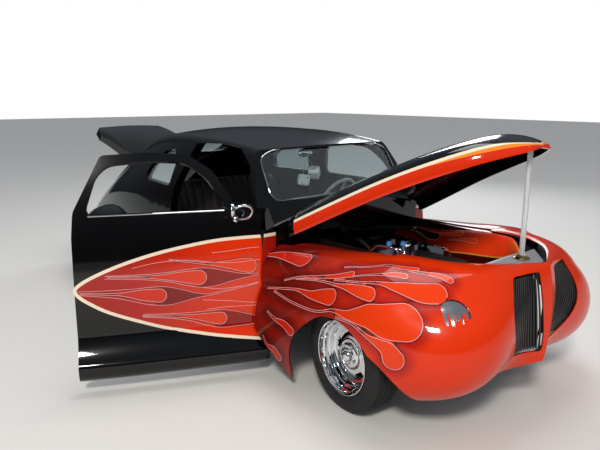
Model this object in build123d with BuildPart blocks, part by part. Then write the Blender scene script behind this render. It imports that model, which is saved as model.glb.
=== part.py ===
"""Chopped and channelled two-door hot rod coupe, full size, millimetres.

Every piece is drawn in car coordinates: +X forward with zero at the front axle,
+Y to the car's left with zero on the centreline, +Z up with zero on the floor.
At the end all pieces are shifted together so that the frame's origin lies under
the middle of the whole car as it stands with its right door open.
"""

from build123d import *
from math import cos, radians, sin
import os

os.makedirs("parts", exist_ok=True)

# Stance
wheelbase = 2850
tyre_radius = 304
tyre_width = 190
rim_radius = 207.5
track_half = 692
steer_rest = -8.7
door_open = 63.4
hood_open = 22.5
decklid_open = 48

# Clearances
panel_gap = 6
seat_gap = 0.3
running_gap = 1.0

# Body shell
cowl_x = -672
firewall_thickness = 8
side_wall = 60
roof_wall = 34
tail_wall = 40
door_front_x = -688
door_rear_x = -1765
glass_depth = 12
glass_thickness = 6

# Columns: x, z bottom, y sill, y flare, z flare, y waist, z waist,
# y ridge, z ridge, y drip, z drip, z roof
body_rows = [
    (cowl_x, 70, 815, 895, 190, 808, 330, 765, 920, 660, 1250, 1300),
    (-1150, 70, 820, 900, 190, 812, 330, 768, 920, 640, 1330, 1395),
    (-1760, 70, 815, 895, 190, 812, 330, 768, 920, 630, 1350, 1438),
    (-2400, 80, 770, 830, 200, 780, 340, 735, 900, 540, 1275, 1372),
    (-3120, 110, 660, 700, 230, 665, 350, 625, 800, 440, 1020, 1108),
    (-3620, 170, 560, 590, 280, 570, 380, 525, 620, 395, 765, 832),
    (-3960, 240, 470, 490, 320, 480, 380, 455, 450, 360, 500, 530),
]
corner_in = 78
side_bulge = 16
tumble_bulge = 14

# Windscreen surface
screen_base_x = -690
screen_base_z = 1020
screen_rake = 0.62
screen_plan_radius = 3000

# Front clip stations, from the fender's rear end round to the prow
# Columns: origin x, origin y, turn, r inner, z bottom, r bottom, r side, z side,
# r shoulder, z shoulder, r crown, z crown, r lip, z lip
clip_rear_x = cowl_x + seat_gap
clip_rows = [
    (clip_rear_x, 0, 0, 560, 66, 800, 862, 270, 800, 560, 782, 700, 645, 790),
    (-516, 0, 0, 534, 52, 812, 874, 287, 818, 602, 764, 739, 614, 802),
    (-340, 0, 0, 500, 66, 820, 882, 330, 826, 640, 740, 775, 575, 815),
    (-143, 0, 0, 457, 129, 823, 883, 408, 822, 671, 708, 805, 528, 830),
    (0, 0, 0, 430, 190, 830, 888, 470, 826, 690, 690, 826, 495, 843),
    (27, 151, 13, 284, 202, 695, 758, 468, 707, 696, 551, 837, 343, 849),
    (0, 300, 30, 140, 190, 560, 652, 440, 600, 690, 430, 838, 199, 850),
    (-7, 327, 44, 98, 187, 534, 684, 429, 603, 680, 431, 830, 166, 851),
    (0, 300, 58, 160, 195, 556, 752, 430, 652, 690, 500, 826, 240, 853),
    (2, 303, 76, 296, 211, 551, 741, 431, 666, 737, 561, 837, 383, 855),
    (0, 280, 90, 440, 235, 556, 702, 450, 664, 790, 610, 850, 530, 855),
    (-1, 168, 93, 536, 269, 620, 707, 504, 682, 818, 658, 851, 627, 852),
    (0, 0, 90, 600, 309, 722, 745, 580, 715, 828, 706, 843, 690, 848),
]
clip_wall = 16
fender_split_y = 330
nose_split_x = 440

# Hood, as it lies shut
hood_rear_x = -632
# Columns: x, half width, z edge, side z, crown z
hood_rows = [
    (hood_rear_x, 648, 801, 906, 1006),
    (-330, 590, 828, 935, 1040),
    (30, 500, 858, 965, 1052),
    (330, 404, 867, 975, 1044),
    (540, 288, 868, 950, 1006),
    (690, 110, 865, 890, 912),
]
hood_wall = 16
hood_hinge_x = -740
hood_hinge_z = 930

# Doors
door_hinge_x = -700
door_hinge_y = 790

# Decklid
decklid_hinge_x = -3080
decklid_hinge_z = 1090
decklid_front_x = -3140
decklid_rear_x = -3830
decklid_half = 400

# Front suspension and rear axle
kingpin_y = 600
hub_height = tyre_radius

centre_shift_x = 1619
centre_shift_y = 424


def body_loft(inset, roof_inset, front_x, rear_x, z_drop):
    """Cabin and tail as one loft, drawn inset from the outer skin."""
    rows = [list(row) for row in body_rows]
    rows[0][0] = front_x
    rows[-1][0] = rear_x
    with BuildPart() as body:
        for (x, z_bot, y_sill, y_flare, z_flare, y_waist, z_waist,
             y_ridge, z_ridge, y_drip, z_drip, z_roof) in rows:
            y_sill, y_flare, y_waist = y_sill - inset, y_flare - inset, y_waist - inset
            y_ridge, y_drip = y_ridge - inset, y_drip - inset
            z_bot, z_roof = z_bot - z_drop, z_roof - roof_inset
            z_drip = z_drip - roof_inset
            y_edge = y_drip - corner_in
            z_edge = z_drip + 0.66 * (z_roof - z_drip)
            sill, flare = (y_sill, z_bot), (y_flare, z_flare)
            waist, ridge = (y_waist, z_waist), (y_ridge, z_ridge)
            drip, edge = (y_drip, z_drip), (y_edge, z_edge)
            sill_mid = (y_flare + 2, (z_bot + z_flare) / 2)
            flare_mid = (0.35 * y_flare + 0.65 * y_waist, 0.5 * (z_flare + z_waist))
            side_mid = ((y_waist + y_ridge) / 2 + side_bulge, (z_waist + z_ridge) / 2)
            tumble_mid = ((y_ridge + y_drip) / 2 + tumble_bulge, (z_ridge + z_drip) / 2)
            edge_mid = (y_drip - 0.3 * corner_in, z_drip + 0.66 * (z_edge - z_drip))
            with BuildSketch(Plane.YZ.offset(x)):
                with BuildLine():
                    for side in (1, -1):
                        a = [(side * y, z) for y, z in
                             (sill, sill_mid, flare, flare_mid, waist, side_mid,
                              ridge, tumble_mid, drip, edge_mid, edge)]
                        ThreePointArc(a[0], a[1], a[2])
                        ThreePointArc(a[2], a[3], a[4])
                        ThreePointArc(a[4], a[5], a[6])
                        ThreePointArc(a[6], a[7], a[8])
                        ThreePointArc(a[8], a[9], a[10])
                    Line((-y_sill, z_bot), (y_sill, z_bot))
                    ThreePointArc((-y_edge, z_edge), (0, z_roof), (y_edge, z_edge))
                make_face()
        loft()
    return body.part


def screen_front(setback, z_low=820, z_high=1500):
    """The space in front of the windscreen's curved surface."""
    with BuildPart() as space:
        for z in (z_low, z_high):
            centre = screen_base_x - setback - screen_rake * (z - screen_base_z)
            half = 950
            sag = screen_plan_radius - (screen_plan_radius**2 - half**2) ** 0.5
            with BuildSketch(Plane.XY.offset(z)):
                with BuildLine():
                    ThreePointArc((centre - sag, -half), (centre, 0), (centre - sag, half))
                    Polyline((centre - sag, half), (400, half), (400, -half), (centre - sag, -half))
                make_face()
        loft(ruled=True)
    return space.part


def side_prism(points, radii, y_low, y_high, grow=0.0):
    """A side-view outline, its corners rounded, pushed through from y_low to y_high."""
    with BuildPart() as prism:
        with BuildSketch(Plane.XZ.offset(-y_high)):
            with BuildLine():
                Polyline(*points, close=True)
            make_face()
            if radii:
                fillet(vertices(), radii)
            if grow:
                offset(amount=grow)
        extrude(amount=y_high - y_low)
    return prism.part



def block(x_low, x_high, y_low, y_high, z_low, z_high, mode=Mode.ADD):
    """A box between two corners, in whichever part is being built."""
    centre = ((x_low + x_high) / 2, (y_low + y_high) / 2, (z_low + z_high) / 2)
    with Locations(centre):
        Box(x_high - x_low, y_high - y_low, z_high - z_low, mode=mode)


def rod(start, end, radius, mode=Mode.ADD):
    """A round bar from one point to another."""
    way = Vector(*end) - Vector(*start)
    with BuildSketch(Plane(origin=start, z_dir=way.normalized())) as disc:
        Circle(radius)
    extrude(disc.sketch, amount=way.length, mode=mode)


def x_prism(points, x_low, x_high, corner=0):
    """A cross-section outline in Y and Z pushed along X."""
    with BuildPart() as prism:
        with BuildSketch(Plane.YZ.offset(x_low)):
            with BuildLine():
                Polyline(*points, close=True)
            make_face()
            if corner:
                fillet(vertices(), corner)
        extrude(amount=x_high - x_low)
    return prism.part


def glass_band(window, y_low, y_high):
    """Glass that follows the body's side, cut to a window and set in from the skin."""
    with BuildPart() as pane:
        add(glass_outer)
        add(glass_inner, mode=Mode.SUBTRACT)
        add(side_prism(window, window_corner, y_low, y_high, -seat_gap), mode=Mode.INTERSECT)
    return pane.part


# Outlines seen from the side
door_outline = [
    (door_front_x, 50), (door_front_x, 985), (-800, 1010), (-842, 1060), (-962, 1248), (-1098, 1340),
    (-1320, 1358), (-1590, 1346), (-1752, 1040), (door_rear_x, 900), (door_rear_x, 50),
]
door_corners = 12
floor_z = 284
tunnel_half = 130
tunnel_high = 460
tunnel_low = 374
door_window = [
    (-884, 1026), (-1006, 1212), (-1120, 1296), (-1330, 1308), (-1552, 1290),
    (-1620, 1230), (-1690, 1026),
]
quarter_window = [
    (-1848, 1030), (-1812, 1215), (-1900, 1288), (-2080, 1262), (-2270, 1130), (-2310, 1030),
]
window_corner = 22
wheel_well_radius = 372
rear_arch_radius = 352

outer = body_loft(0, 0, cowl_x, body_rows[-1][0], 0)
cavity = body_loft(side_wall, roof_wall, cowl_x - firewall_thickness, body_rows[-1][0] + tail_wall, 300)
glass_outer = body_loft(glass_depth, glass_depth, cowl_x, body_rows[-1][0], 0)
glass_inner = body_loft(glass_depth + glass_thickness, glass_depth + glass_thickness, cowl_x + 1,
                        body_rows[-1][0] + 1, 1)

# The cowl's top, under the hood's rear edge and ahead of the windscreen
cowl_crown_z = 1000
cowl_side_z = 845
screen_wall = 28
cowl_wall = 14


def screen_space(setback, drop):
    """What lies ahead of the windscreen and above the cowl's arched top."""
    with BuildPart() as space:
        add(screen_front(setback))
        with BuildSketch(Plane.YZ.offset(-1400)):
            with BuildLine():
                side_z, crown_z = cowl_side_z - drop, cowl_crown_z - drop
                ThreePointArc((-900, side_z), (0, crown_z), (900, side_z))
                Polyline((900, side_z), (900, 1600), (-900, 1600), (-900, side_z))
            make_face()
        extrude(amount=1800, mode=Mode.INTERSECT)
    return space.part


with BuildPart() as skin:
    add(outer)
    add(screen_space(0, 0), mode=Mode.SUBTRACT)
with BuildPart() as cabin_space:
    add(cavity)
    add(screen_space(screen_wall, cowl_wall), mode=Mode.SUBTRACT)

screen_outline = [(-632, 1040), (632, 1040), (612, 1298), (500, 1342), (-500, 1342), (-612, 1298)]
screen_corner = 45
rear_outline = [(-420, 1150), (420, 1150), (370, 1285), (-370, 1285)]

decklid_points = [
    (decklid_front_x, -330), (decklid_front_x, 330), (-3300, 385), (-3660, decklid_half),
    (decklid_rear_x, 350), (decklid_rear_x, -350), (-3660, -decklid_half), (-3300, -385),
]


def decklid_prism(grow):
    """The decklid's outline from above, pushed through the tail's upper skin."""
    with BuildPart() as prism:
        with BuildSketch(Plane.XY.offset(560)):
            with BuildLine():
                Polyline(*decklid_points, close=True)
            make_face()
            fillet(vertices(), 40)
            if grow:
                offset(amount=grow)
        extrude(amount=700)
    return prism.part


door_inner_top_y = 540
door_inner_low_y = 684


def door_zone(grow):
    """Where the door is split from the body; its lower part keeps clear of the cowl's top."""
    with BuildPart() as zone:
        add(side_prism(door_outline, door_corners, door_inner_top_y, 1100, grow))
        block(-1000, -600, 500, door_inner_low_y - grow, 0, 1030, mode=Mode.SUBTRACT)
    return zone.part


door_hole = door_zone(panel_gap)
quarter_hole = side_prism(quarter_window, window_corner, 300, 1100)

with BuildPart() as shell_wall:
    add(skin.part)
    add(cabin_space.part, mode=Mode.SUBTRACT)

# The cowl's front lip, which the hood's rear edge lies over
cowl_lip_half = 590
with BuildPart() as cowl_strip:
    with BuildSketch(Plane.YZ.offset(cowl_x)):
        with BuildLine():
            ThreePointArc((-900, cowl_side_z), (0, cowl_crown_z), (900, cowl_side_z))
            Line((900, cowl_side_z), (900, cowl_side_z - cowl_wall))
            under_side, under_crown = cowl_side_z - cowl_wall, cowl_crown_z - cowl_wall
            ThreePointArc((900, under_side), (0, under_crown), (-900, under_side))
            Line((-900, under_side), (-900, cowl_side_z))
        make_face()
    extrude(amount=hood_rear_x - 8 - cowl_x)
    with Locations((cowl_x, 0, cowl_crown_z)):
        Box(400, 2 * cowl_lip_half, 600, mode=Mode.INTERSECT)

with BuildPart() as body_shell:
    add(shell_wall.part)
    for hole in (door_hole, quarter_hole):
        add(hole, mode=Mode.SUBTRACT)
        add(hole.mirror(Plane.XZ), mode=Mode.SUBTRACT)
    add(x_prism(screen_outline, -1300, -600, screen_corner), mode=Mode.SUBTRACT)
    add(x_prism(rear_outline, -3000, -2300, 30), mode=Mode.SUBTRACT)
    add(decklid_prism(panel_gap), mode=Mode.SUBTRACT)
    for side in (1, -1):
        with BuildSketch(Plane.XZ.offset(-side * 520)):
            with Locations((-wheelbase, hub_height)):
                Circle(wheel_well_radius)
            with Locations((-wheelbase, 0)):
                Rectangle(2 * wheel_well_radius, hub_height * 2, align=(Align.CENTER, Align.MIN))
        extrude(amount=-side * 500, mode=Mode.SUBTRACT)
    add(cowl_strip.part)
    block(-684, -600, -740, 740, -10, floor_z + 10, mode=Mode.SUBTRACT)
    block(-684, -600, -tunnel_half - 2, tunnel_half + 2, floor_z, tunnel_high + 2, mode=Mode.SUBTRACT)
    for side in (1, -1):
        block(-684, -600, side * 870 - 100, side * 870 + 100, -10, 640, mode=Mode.SUBTRACT)

# Doors, drawn shut on the left and copied to the right
door_window_hole = side_prism(door_window, window_corner, 300, 1100)
with BuildPart() as door_left:
    add(shell_wall.part)
    add(door_zone(0), mode=Mode.INTERSECT)
    add(door_window_hole, mode=Mode.SUBTRACT)

right_door_axis = Axis((door_hinge_x, -door_hinge_y, 0), (0, 0, 1))
with BuildPart() as door_right:
    add(door_left.part.mirror(Plane.XZ).rotate(right_door_axis, door_open))

# Decklid, raised about its hidden hinges
with BuildPart() as decklid:
    add(shell_wall.part)
    add(decklid_prism(0), mode=Mode.INTERSECT)
decklid_axis = Axis((decklid_hinge_x, 0, decklid_hinge_z), (0, 1, 0))
with BuildPart() as decklid_raised:
    add(decklid.part.rotate(decklid_axis, decklid_open))

# Glass
with BuildPart() as rear_glass:
    for side in (1, -1):
        pane = glass_band(quarter_window, 300, 1100)
        add(pane if side > 0 else pane.mirror(Plane.XZ))
    with BuildPart(mode=Mode.PRIVATE) as rear_pane:
        add(glass_outer)
        add(glass_inner, mode=Mode.SUBTRACT)
        add(x_prism([(y * 0.9985, z) for y, z in rear_outline], -3000, -2300, 30), mode=Mode.INTERSECT)
    add(rear_pane.part)

with BuildPart() as windshield:
    add(x_prism([(y * 0.9992, z) for y, z in screen_outline], -1300, -600, screen_corner))
    add(screen_front(glass_depth), mode=Mode.SUBTRACT)
    add(screen_front(glass_depth + glass_thickness), mode=Mode.INTERSECT)


def clip_loft(wall, depth):
    """The left half of the front clip; wall and depth draw its hollow inside."""
    with BuildPart() as half:
        for (x0, y0, turn, r_in, z_bot, r_bot, r_side, z_side, r_sh, z_sh,
             r_crown, z_crown, r_lip, z_lip) in clip_rows:
            out = Vector(sin(radians(turn)), cos(radians(turn)), 0)
            plane = Plane(origin=(x0, y0, 0), x_dir=out, z_dir=out.cross(Vector(0, 0, 1)))
            low, inner = z_bot - depth, r_in - depth
            shoulder = (r_sh - wall, z_sh - 0.3 * wall)
            with BuildSketch(plane):
                with BuildLine():
                    Line((inner, low), (r_bot - wall, low))
                    if wall:
                        Line((r_bot - wall, low), (r_bot - wall, z_bot))
                    ThreePointArc((r_bot - wall, z_bot), (r_side - wall, z_side), shoulder)
                    ThreePointArc(shoulder, (r_crown - 0.5 * wall, z_crown - wall), (r_lip, z_lip - wall))
                    if wall:
                        Line((r_lip, z_lip - wall), (inner, z_lip - wall))
                        Line((inner, z_lip - wall), (inner, low))
                    else:
                        Line((r_lip, z_lip), (inner, low))
                make_face()
        loft()
    return half.part


clip_outer = clip_loft(0, 0)
clip_inner = clip_loft(clip_wall, 200)

with BuildPart() as arch:
    with BuildSketch(Plane.XZ.offset(-1100)):
        with BuildLine():
            ThreePointArc((-345, 215), (-300, 360), (-190, 480))
            ThreePointArc((-190, 480), (40, 560), (250, 440))
            ThreePointArc((250, 440), (360, 350), (440, 200))
            Polyline((440, 200), (440, -50), (-760, -50), (-760, 300), (-662, 300), (-360, 66), (-345, 215))
        make_face()
    extrude(amount=700)

with BuildPart() as clip_half:
    add(clip_outer)
    add(clip_inner, mode=Mode.SUBTRACT)
    add(arch.part, mode=Mode.SUBTRACT)

# Hood, hinged at the cowl
def hood_loft(wall):
    """The hood as it lies shut; wall draws its hollow underside."""
    with BuildPart() as hood_form:
        for i, (x, half, z_edge, z_side, z_crown) in enumerate(hood_rows):
            half, z_side, z_crown = half - wall, z_side - wall, z_crown - wall
            z_edge = z_edge - (60 if wall else 0)
            if wall and i in (0, len(hood_rows) - 1):
                x = x - 100 if i == 0 else x - wall
            shoulder = (0.80 * half, z_side + 0.40 * (z_crown - z_side))
            with BuildSketch(Plane.YZ.offset(x)):
                with BuildLine():
                    Line((-half, z_edge), (half, z_edge))
                    for side in (1, -1):
                        lower = (side * 0.965 * half, z_side - 0.2 * (z_side - z_edge))
                        ThreePointArc((side * half, z_edge), lower, (side * shoulder[0], shoulder[1]))
                    ThreePointArc((-shoulder[0], shoulder[1]), (0, z_crown), shoulder)
                make_face()
        loft()
    return hood_form.part


hood_outer = hood_loft(0)
hood_inner = hood_loft(hood_wall)
with BuildPart() as hood:
    add(hood_outer)
    add(hood_inner, mode=Mode.SUBTRACT)
hood_axis = Axis((hood_hinge_x, 0, hood_hinge_z), (0, -1, 0))

# Grille openings and lamp recesses in the nose
grille_corners = [(78, 376), (76, 772), (268, 812), (212, 370)]
lamp_centre = (590, 622, 680)
lamp_turn = 24
lamp_half_width = 98
lamp_half_height = 62

with BuildPart() as grille_hole:
    with BuildSketch(Plane.YZ.offset(560)):
        with BuildLine():
            Polyline(*grille_corners, close=True)
        make_face()
        fillet(vertices(), 22)
    extrude(amount=260)

lamp_way = Vector(cos(radians(lamp_turn)), sin(radians(lamp_turn)), 0.12).normalized()
lamp_across = Vector(-sin(radians(lamp_turn)), cos(radians(lamp_turn)), 0)
lamp_plane = Plane(origin=lamp_centre, x_dir=lamp_across, z_dir=lamp_way)
with BuildPart() as lamp_hole:
    with BuildSketch(lamp_plane):
        Ellipse(lamp_half_width, lamp_half_height)
    extrude(amount=120, both=True)

with BuildPart() as nose_half:
    add(clip_half.part)
    add(grille_hole.part, mode=Mode.SUBTRACT)
    block(nose_split_x, 900, 0, fender_split_y, -50, 1000, mode=Mode.INTERSECT)

with BuildPart() as nose_panel:
    add(nose_half.part)
    mirror(about=Plane.XZ)

with BuildPart() as front_fender_left:
    add(clip_half.part)
    add(lamp_hole.part, mode=Mode.SUBTRACT)
    block(nose_split_x, 900, -10, fender_split_y + seat_gap, -50, 1000, mode=Mode.SUBTRACT)
with BuildPart() as front_fender_right:
    add(front_fender_left.part.mirror(Plane.XZ))

# Lamps: a glass lens in each recess, and a cover with fingers hanging over it
with BuildPart() as headlamps:
    with BuildSketch(lamp_plane.offset(-46)):
        Ellipse(lamp_half_width - seat_gap, lamp_half_height - seat_gap)
    extrude(amount=34)
    mirror(about=Plane.XZ)
with BuildPart() as headlamp_covers:
    with BuildSketch(lamp_plane.offset(-12 + seat_gap)):
        Ellipse(lamp_half_width - seat_gap, lamp_half_height - seat_gap)
        for i, drop in enumerate((20, 44, 52, 48, 24)):
            with Locations(((i - 2) * 36, -70 + drop)):
                Rectangle(9, 70, align=(Align.CENTER, Align.MAX), mode=Mode.SUBTRACT)
    extrude(amount=8)
    mirror(about=Plane.XZ)

# Grille bars in a rim, one set each side of the prow
grille_bars_each = 10
bar_width = 7
bar_depth = 22
rim_width = 9
bar_low = ((722, 84), (662, 200))
bar_high = ((700, 84), (640, 246))
with BuildPart() as grille:
    with BuildPart(mode=Mode.PRIVATE) as bars:
        for i in range(grille_bars_each):
            t = (i + 0.5) / grille_bars_each
            low = Vector(*[a + (b - a) * t for a, b in zip(*bar_low)], 372)
            high = Vector(*[a + (b - a) * t for a, b in zip(*bar_high)], 815)
            with BuildSketch(Plane(origin=low, z_dir=(high - low).normalized(), x_dir=(1, 0, 0))):
                RectangleRounded(bar_depth, bar_width, 3)
            extrude(amount=(high - low).length)
    with BuildPart(mode=Mode.PRIVATE) as rims:
        with BuildSketch(Plane.YZ.offset(560)):
            with BuildLine():
                Polyline(*grille_corners, close=True)
            make_face()
            fillet(vertices(), 22)
            offset(amount=-seat_gap)
        extrude(amount=260)
        with BuildSketch(Plane.YZ.offset(550)):
            with BuildLine():
                Polyline(*grille_corners, close=True)
            make_face()
            fillet(vertices(), 22)
            offset(amount=-rim_width)
        extrude(amount=280, mode=Mode.SUBTRACT)
    with BuildPart(mode=Mode.PRIVATE) as opening:
        with BuildSketch(Plane.YZ.offset(560)):
            with BuildLine():
                Polyline(*grille_corners, close=True)
            make_face()
            fillet(vertices(), 22)
            offset(amount=-seat_gap)
        extrude(amount=260)
    with BuildPart(mode=Mode.PRIVATE) as layer:
        with BuildSketch(Plane.XY.offset(340)):
            with BuildLine():
                (x0, y0), (x1, y1) = bar_low
                Polyline((x0 + 12, y0 - 24), (x1 - 16, y1 + 60),
                         (x1 - 46, y1 + 60), (x0 - 18, y0 - 24), close=True)
            make_face()
        with BuildSketch(Plane.XY.offset(840)):
            with BuildLine():
                (x0, y0), (x1, y1) = bar_high
                Polyline((x0 + 12, y0 - 24), (x1 - 10, y1 + 60),
                         (x1 - 40, y1 + 60), (x0 - 18, y0 - 24), close=True)
            make_face()
        loft(ruled=True)
    add(rims.part)
    add(layer.part, mode=Mode.INTERSECT)
    add(bars.part & opening.part)
    mirror(about=Plane.XZ)

# Rear fenders: teardrop pontoons with open arches
rear_fender_rows = [
    (-2300, 640, 700, 100, 560), (-2600, 640, 868, 110, 700), (-2900, 620, 890, 120, 722),
    (-3300, 560, 850, 170, 640), (-3640, 490, 690, 260, 520),
]


def rear_fender_loft(wall):
    with BuildPart() as form:
        for x, y_in, y_out, z_low, z_top in rear_fender_rows:
            y_out, z_top = y_out - wall, z_top - wall
            z_low = z_low - (200 if wall else 0)
            y_in = y_in - (120 if wall else 0)
            shoulder = (y_out - 60, z_top - 70)
            with BuildSketch(Plane.YZ.offset(x)):
                with BuildLine():
                    Line((y_in, z_low), (y_out - 10, z_low))
                    ThreePointArc((y_out - 10, z_low), (y_out + 6, (z_low + shoulder[1]) / 2), shoulder)
                    ThreePointArc(shoulder, (y_out - 110, z_top - 18), (y_in, z_top))
                    Line((y_in, z_top), (y_in, z_low))
                make_face()
        loft()
    return form.part


rear_fender_outer = rear_fender_loft(0)
rear_fender_inner = rear_fender_loft(14)
with BuildPart() as rear_fender_left:
    add(rear_fender_outer)
    add(rear_fender_inner, mode=Mode.SUBTRACT)
    with BuildSketch(Plane.XZ.offset(-1100)):
        with Locations((-wheelbase, hub_height)):
            Circle(rear_arch_radius)
        with Locations((-wheelbase, 0)):
            Rectangle(2 * rear_arch_radius, hub_height * 2, align=(Align.CENTER, Align.MIN))
    extrude(amount=600, mode=Mode.SUBTRACT)
    add(outer, mode=Mode.SUBTRACT)
with BuildPart() as rear_fender_right:
    add(rear_fender_left.part.mirror(Plane.XZ))

# Chassis frame
rail_y = 350
rail_width = 50
rail_profile = [
    (430, 190), (430, 280), (-2350, 280), (-2560, 430), (-3120, 430), (-3330, 350), (-3850, 350),
    (-3850, 270), (-3350, 270), (-3160, 350), (-2520, 350), (-2330, 190),
]
with BuildPart() as chassis_frame:
    with BuildSketch(Plane.XZ.offset(-rail_y - rail_width / 2)):
        with BuildLine():
            Polyline(*rail_profile, close=True)
        make_face()
    extrude(amount=rail_width)
    mirror(about=Plane.XZ)
    block(-60, 60, -rail_y, rail_y, 200, 270)
    block(-1080, -1000, -rail_y, rail_y, 192, 262)
    block(-2260, -2190, -rail_y, rail_y, 196, 272)
    block(-3840, -3780, -rail_y, rail_y, 275, 345)
    block(370, 426, -rail_y, rail_y, 195, 280)

# Floor, tunnel, rear bulkhead and trunk floor
floor_rear_x = -2332
tunnel_step_x = -1330
trunk_floor_z = 472
with BuildPart() as floor_pan:
    with BuildSketch(Plane.XY.offset(floor_z)):
        with BuildLine():
            Polyline((-684, 736), (-1765, 736), (floor_rear_x, 690),
                     (floor_rear_x, -690), (-1765, -736), (-684, -736), close=True)
        make_face()
    extrude(amount=8)
    block(tunnel_step_x, -684, -tunnel_half, tunnel_half, floor_z + 8, tunnel_high)
    block(floor_rear_x, tunnel_step_x, -tunnel_half, tunnel_half, floor_z + 8, tunnel_low)
    block(floor_rear_x - 8, floor_rear_x, -560, 560, floor_z, trunk_floor_z + 8)
    inside = tunnel_half - 8
    block(tunnel_step_x + 8, -680, -inside, inside, floor_z - 4, tunnel_high - 8, mode=Mode.SUBTRACT)
    block(floor_rear_x - 20, tunnel_step_x + 20, -inside, inside, floor_z - 4, tunnel_low - 8,
          mode=Mode.SUBTRACT)
    with BuildSketch(Plane.XY.offset(trunk_floor_z)):
        with BuildLine():
            Polyline((floor_rear_x, 500), (-3400, 470), (-3880, 310),
                     (-3880, -310), (-3400, -470), (floor_rear_x, -500), close=True)
        make_face()
    extrude(amount=8)

# Engine, a small-block vee with its dress
engine_x = -330
with BuildPart() as engine_block:
    block(-600, -70, -110, 110, 330, 560)
    with BuildSketch(Plane.YZ.offset(-600)):
        with BuildLine():
            Polyline((-110, 420), (110, 420), (300, 600), (215, 690), (0, 590),
                     (-215, 690), (-300, 600), close=True)
        make_face()
    extrude(amount=530)
    block(-560, -200, -120, 120, 240, 332)
    rod((-1180, 0, 360), (-600, 0, 372), 78)
    for side in (1, -1):
        rod((-480, side * 306, 520), (-480, side * 330, 420), 22)
        rod((-190, side * 306, 520), (-190, side * 330, 420), 22)
        block(-560, -110, side * 318 - 20, side * 318 + 20, 500, 560)
valve_cover_section = [
    (220.7, 684.4), (294.2, 606.6), (330, 636), (322, 668), (266, 728), (236, 730),
]
with BuildPart() as engine_top:
    block(-500, -180, -88, 88, 631.3, 664)
    for side in (1, -1):
        with BuildSketch(Plane.YZ.offset(-580)):
            with BuildLine():
                Polyline(*[(side * y, z) for y, z in valve_cover_section], close=True)
            make_face()
            fillet(vertices(), 7)
        extrude(amount=490)
    rod((engine_x, 0, 664), (engine_x, 0, 704), 62)
    rod((engine_x, 0, 704), (engine_x, 0, 770), 165)
    rod((engine_x, 0, 770), (engine_x, 0, 786), 20)
with BuildPart() as engine_dress:
    # pulleys, fan and generator on the engine's front
    for side in (1, -1):
        rod((-30, side * 190, 640), (-64, side * 190, 640), 34)
    rod((-30, 0, 400), (-69.7, 0, 400), 78)
    rod((-30, 0, 560), (-69.7, 0, 560), 56)
    rod((-26, 0, 560), (20, 0, 560), 22)
    with Locations(Location((26, 0, 560), (0, 90, 0))):
        Cylinder(165, 8)
radiator_top_z = 780
with BuildPart() as radiator:
    block(370, 430, -300, 300, 280 + seat_gap, radiator_top_z)
    block(355, 370, -270, 270, 320, 740)

# Sloping inner panels of the engine bay
with BuildPart() as bay_aprons:
    with BuildSketch(Plane.YZ.offset(-660)):
        with BuildLine():
            Polyline((470, 826), (385, 700), (368, 520), (368, 280 + seat_gap), (360, 280 + seat_gap),
                     (360, 523), (378, 703), (462, 828), close=True)
        make_face()
    extrude(amount=1080)
    mirror(about=Plane.XZ)

# Flat cover ahead of the radiator, its rear flange on the radiator's top, a ring for the prop
prop_x = 552
prop_top_z = 1448
prop_foot_z = 812
prop_radius = 14
plate_z = 838
with BuildPart() as radiator_cover:
    with BuildSketch(Plane.XY.offset(plate_z - 6)):
        with BuildLine():
            Polyline((500, -245), (650, -50), (664, 0), (650, 50), (500, 245), close=True)
        make_face()
    extrude(amount=6)
    with BuildSketch(Plane.XZ.offset(-240)):
        with BuildLine():
            foot_z = radiator_top_z + seat_gap
            Polyline((504, 838), (504, 832), (438, foot_z), (396, foot_z),
                     (396, foot_z + 5), (434, foot_z + 5), (498, 838), close=True)
        make_face()
    extrude(amount=480)
    rod((prop_x, 0, plate_z), (prop_x, 0, plate_z + 16), prop_radius + 12)
    rod((prop_x, 0, plate_z - 40), (prop_x, 0, plate_z + 40), prop_radius + seat_gap, mode=Mode.SUBTRACT)
with BuildPart() as prop_rod:
    rod((prop_x, 0, prop_foot_z), (prop_x, 0, prop_top_z), prop_radius)

# Interior
with BuildPart() as dashboard:
    with BuildSketch(Plane.XZ.offset(-600)):
        with BuildLine():
            Polyline((-880, 840), (-890, 950), (-840, 1000), (-700, 1000),
                     (-690, 900), (-790, 840), close=True)
        make_face()
    extrude(amount=1200)
    add(screen_space(screen_wall + seat_gap, cowl_wall + seat_gap), mode=Mode.SUBTRACT)
seat_foot_z = tunnel_low + seat_gap
with BuildPart() as bench_seat:
    with BuildSketch(Plane.XZ.offset(-570)):
        with BuildLine():
            Polyline((-1560, seat_foot_z), (-1560, 540), (-2080, 500), (-2200, 1010),
                     (-2300, 1010), (-2300, seat_foot_z), close=True)
        make_face()
        fillet(vertices(), 45)
    extrude(amount=1140)
wheel_y = 350
column_low = (-760, wheel_y, 700)
column_high = (-1130, wheel_y, 880)
with BuildPart() as steering_column:
    rod(column_low, column_high, 24)
    block(-800, -760, wheel_y - 30, wheel_y + 30, 690, 839.7)
column_way = (Vector(*column_high) - Vector(*column_low)).normalized()
with BuildPart() as steering_wheel:
    hub = Vector(*column_high) + column_way * seat_gap
    with BuildSketch(Plane(origin=hub, z_dir=column_way)):
        Circle(30)
    extrude(amount=36)
    ring = Plane(origin=hub + column_way * 40, z_dir=column_way, x_dir=(0, 1, 0))
    with Locations(ring.location):
        Torus(175, 13)
    with BuildSketch(ring.offset(-10)):
        with PolarLocations(96, 3, start_angle=30):
            Rectangle(156, 24)
    extrude(amount=12)
with BuildPart() as cabin_mirror:
    block(-1012, -1000, -110, 110, 1258, 1306)
    rod((-1000, 0, 1282), (-935, 0, 1320), 6)
    for y in (-38, 28):
        block(-1050, -1000 - 12, y, y + 42, 1150, 1192)

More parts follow.
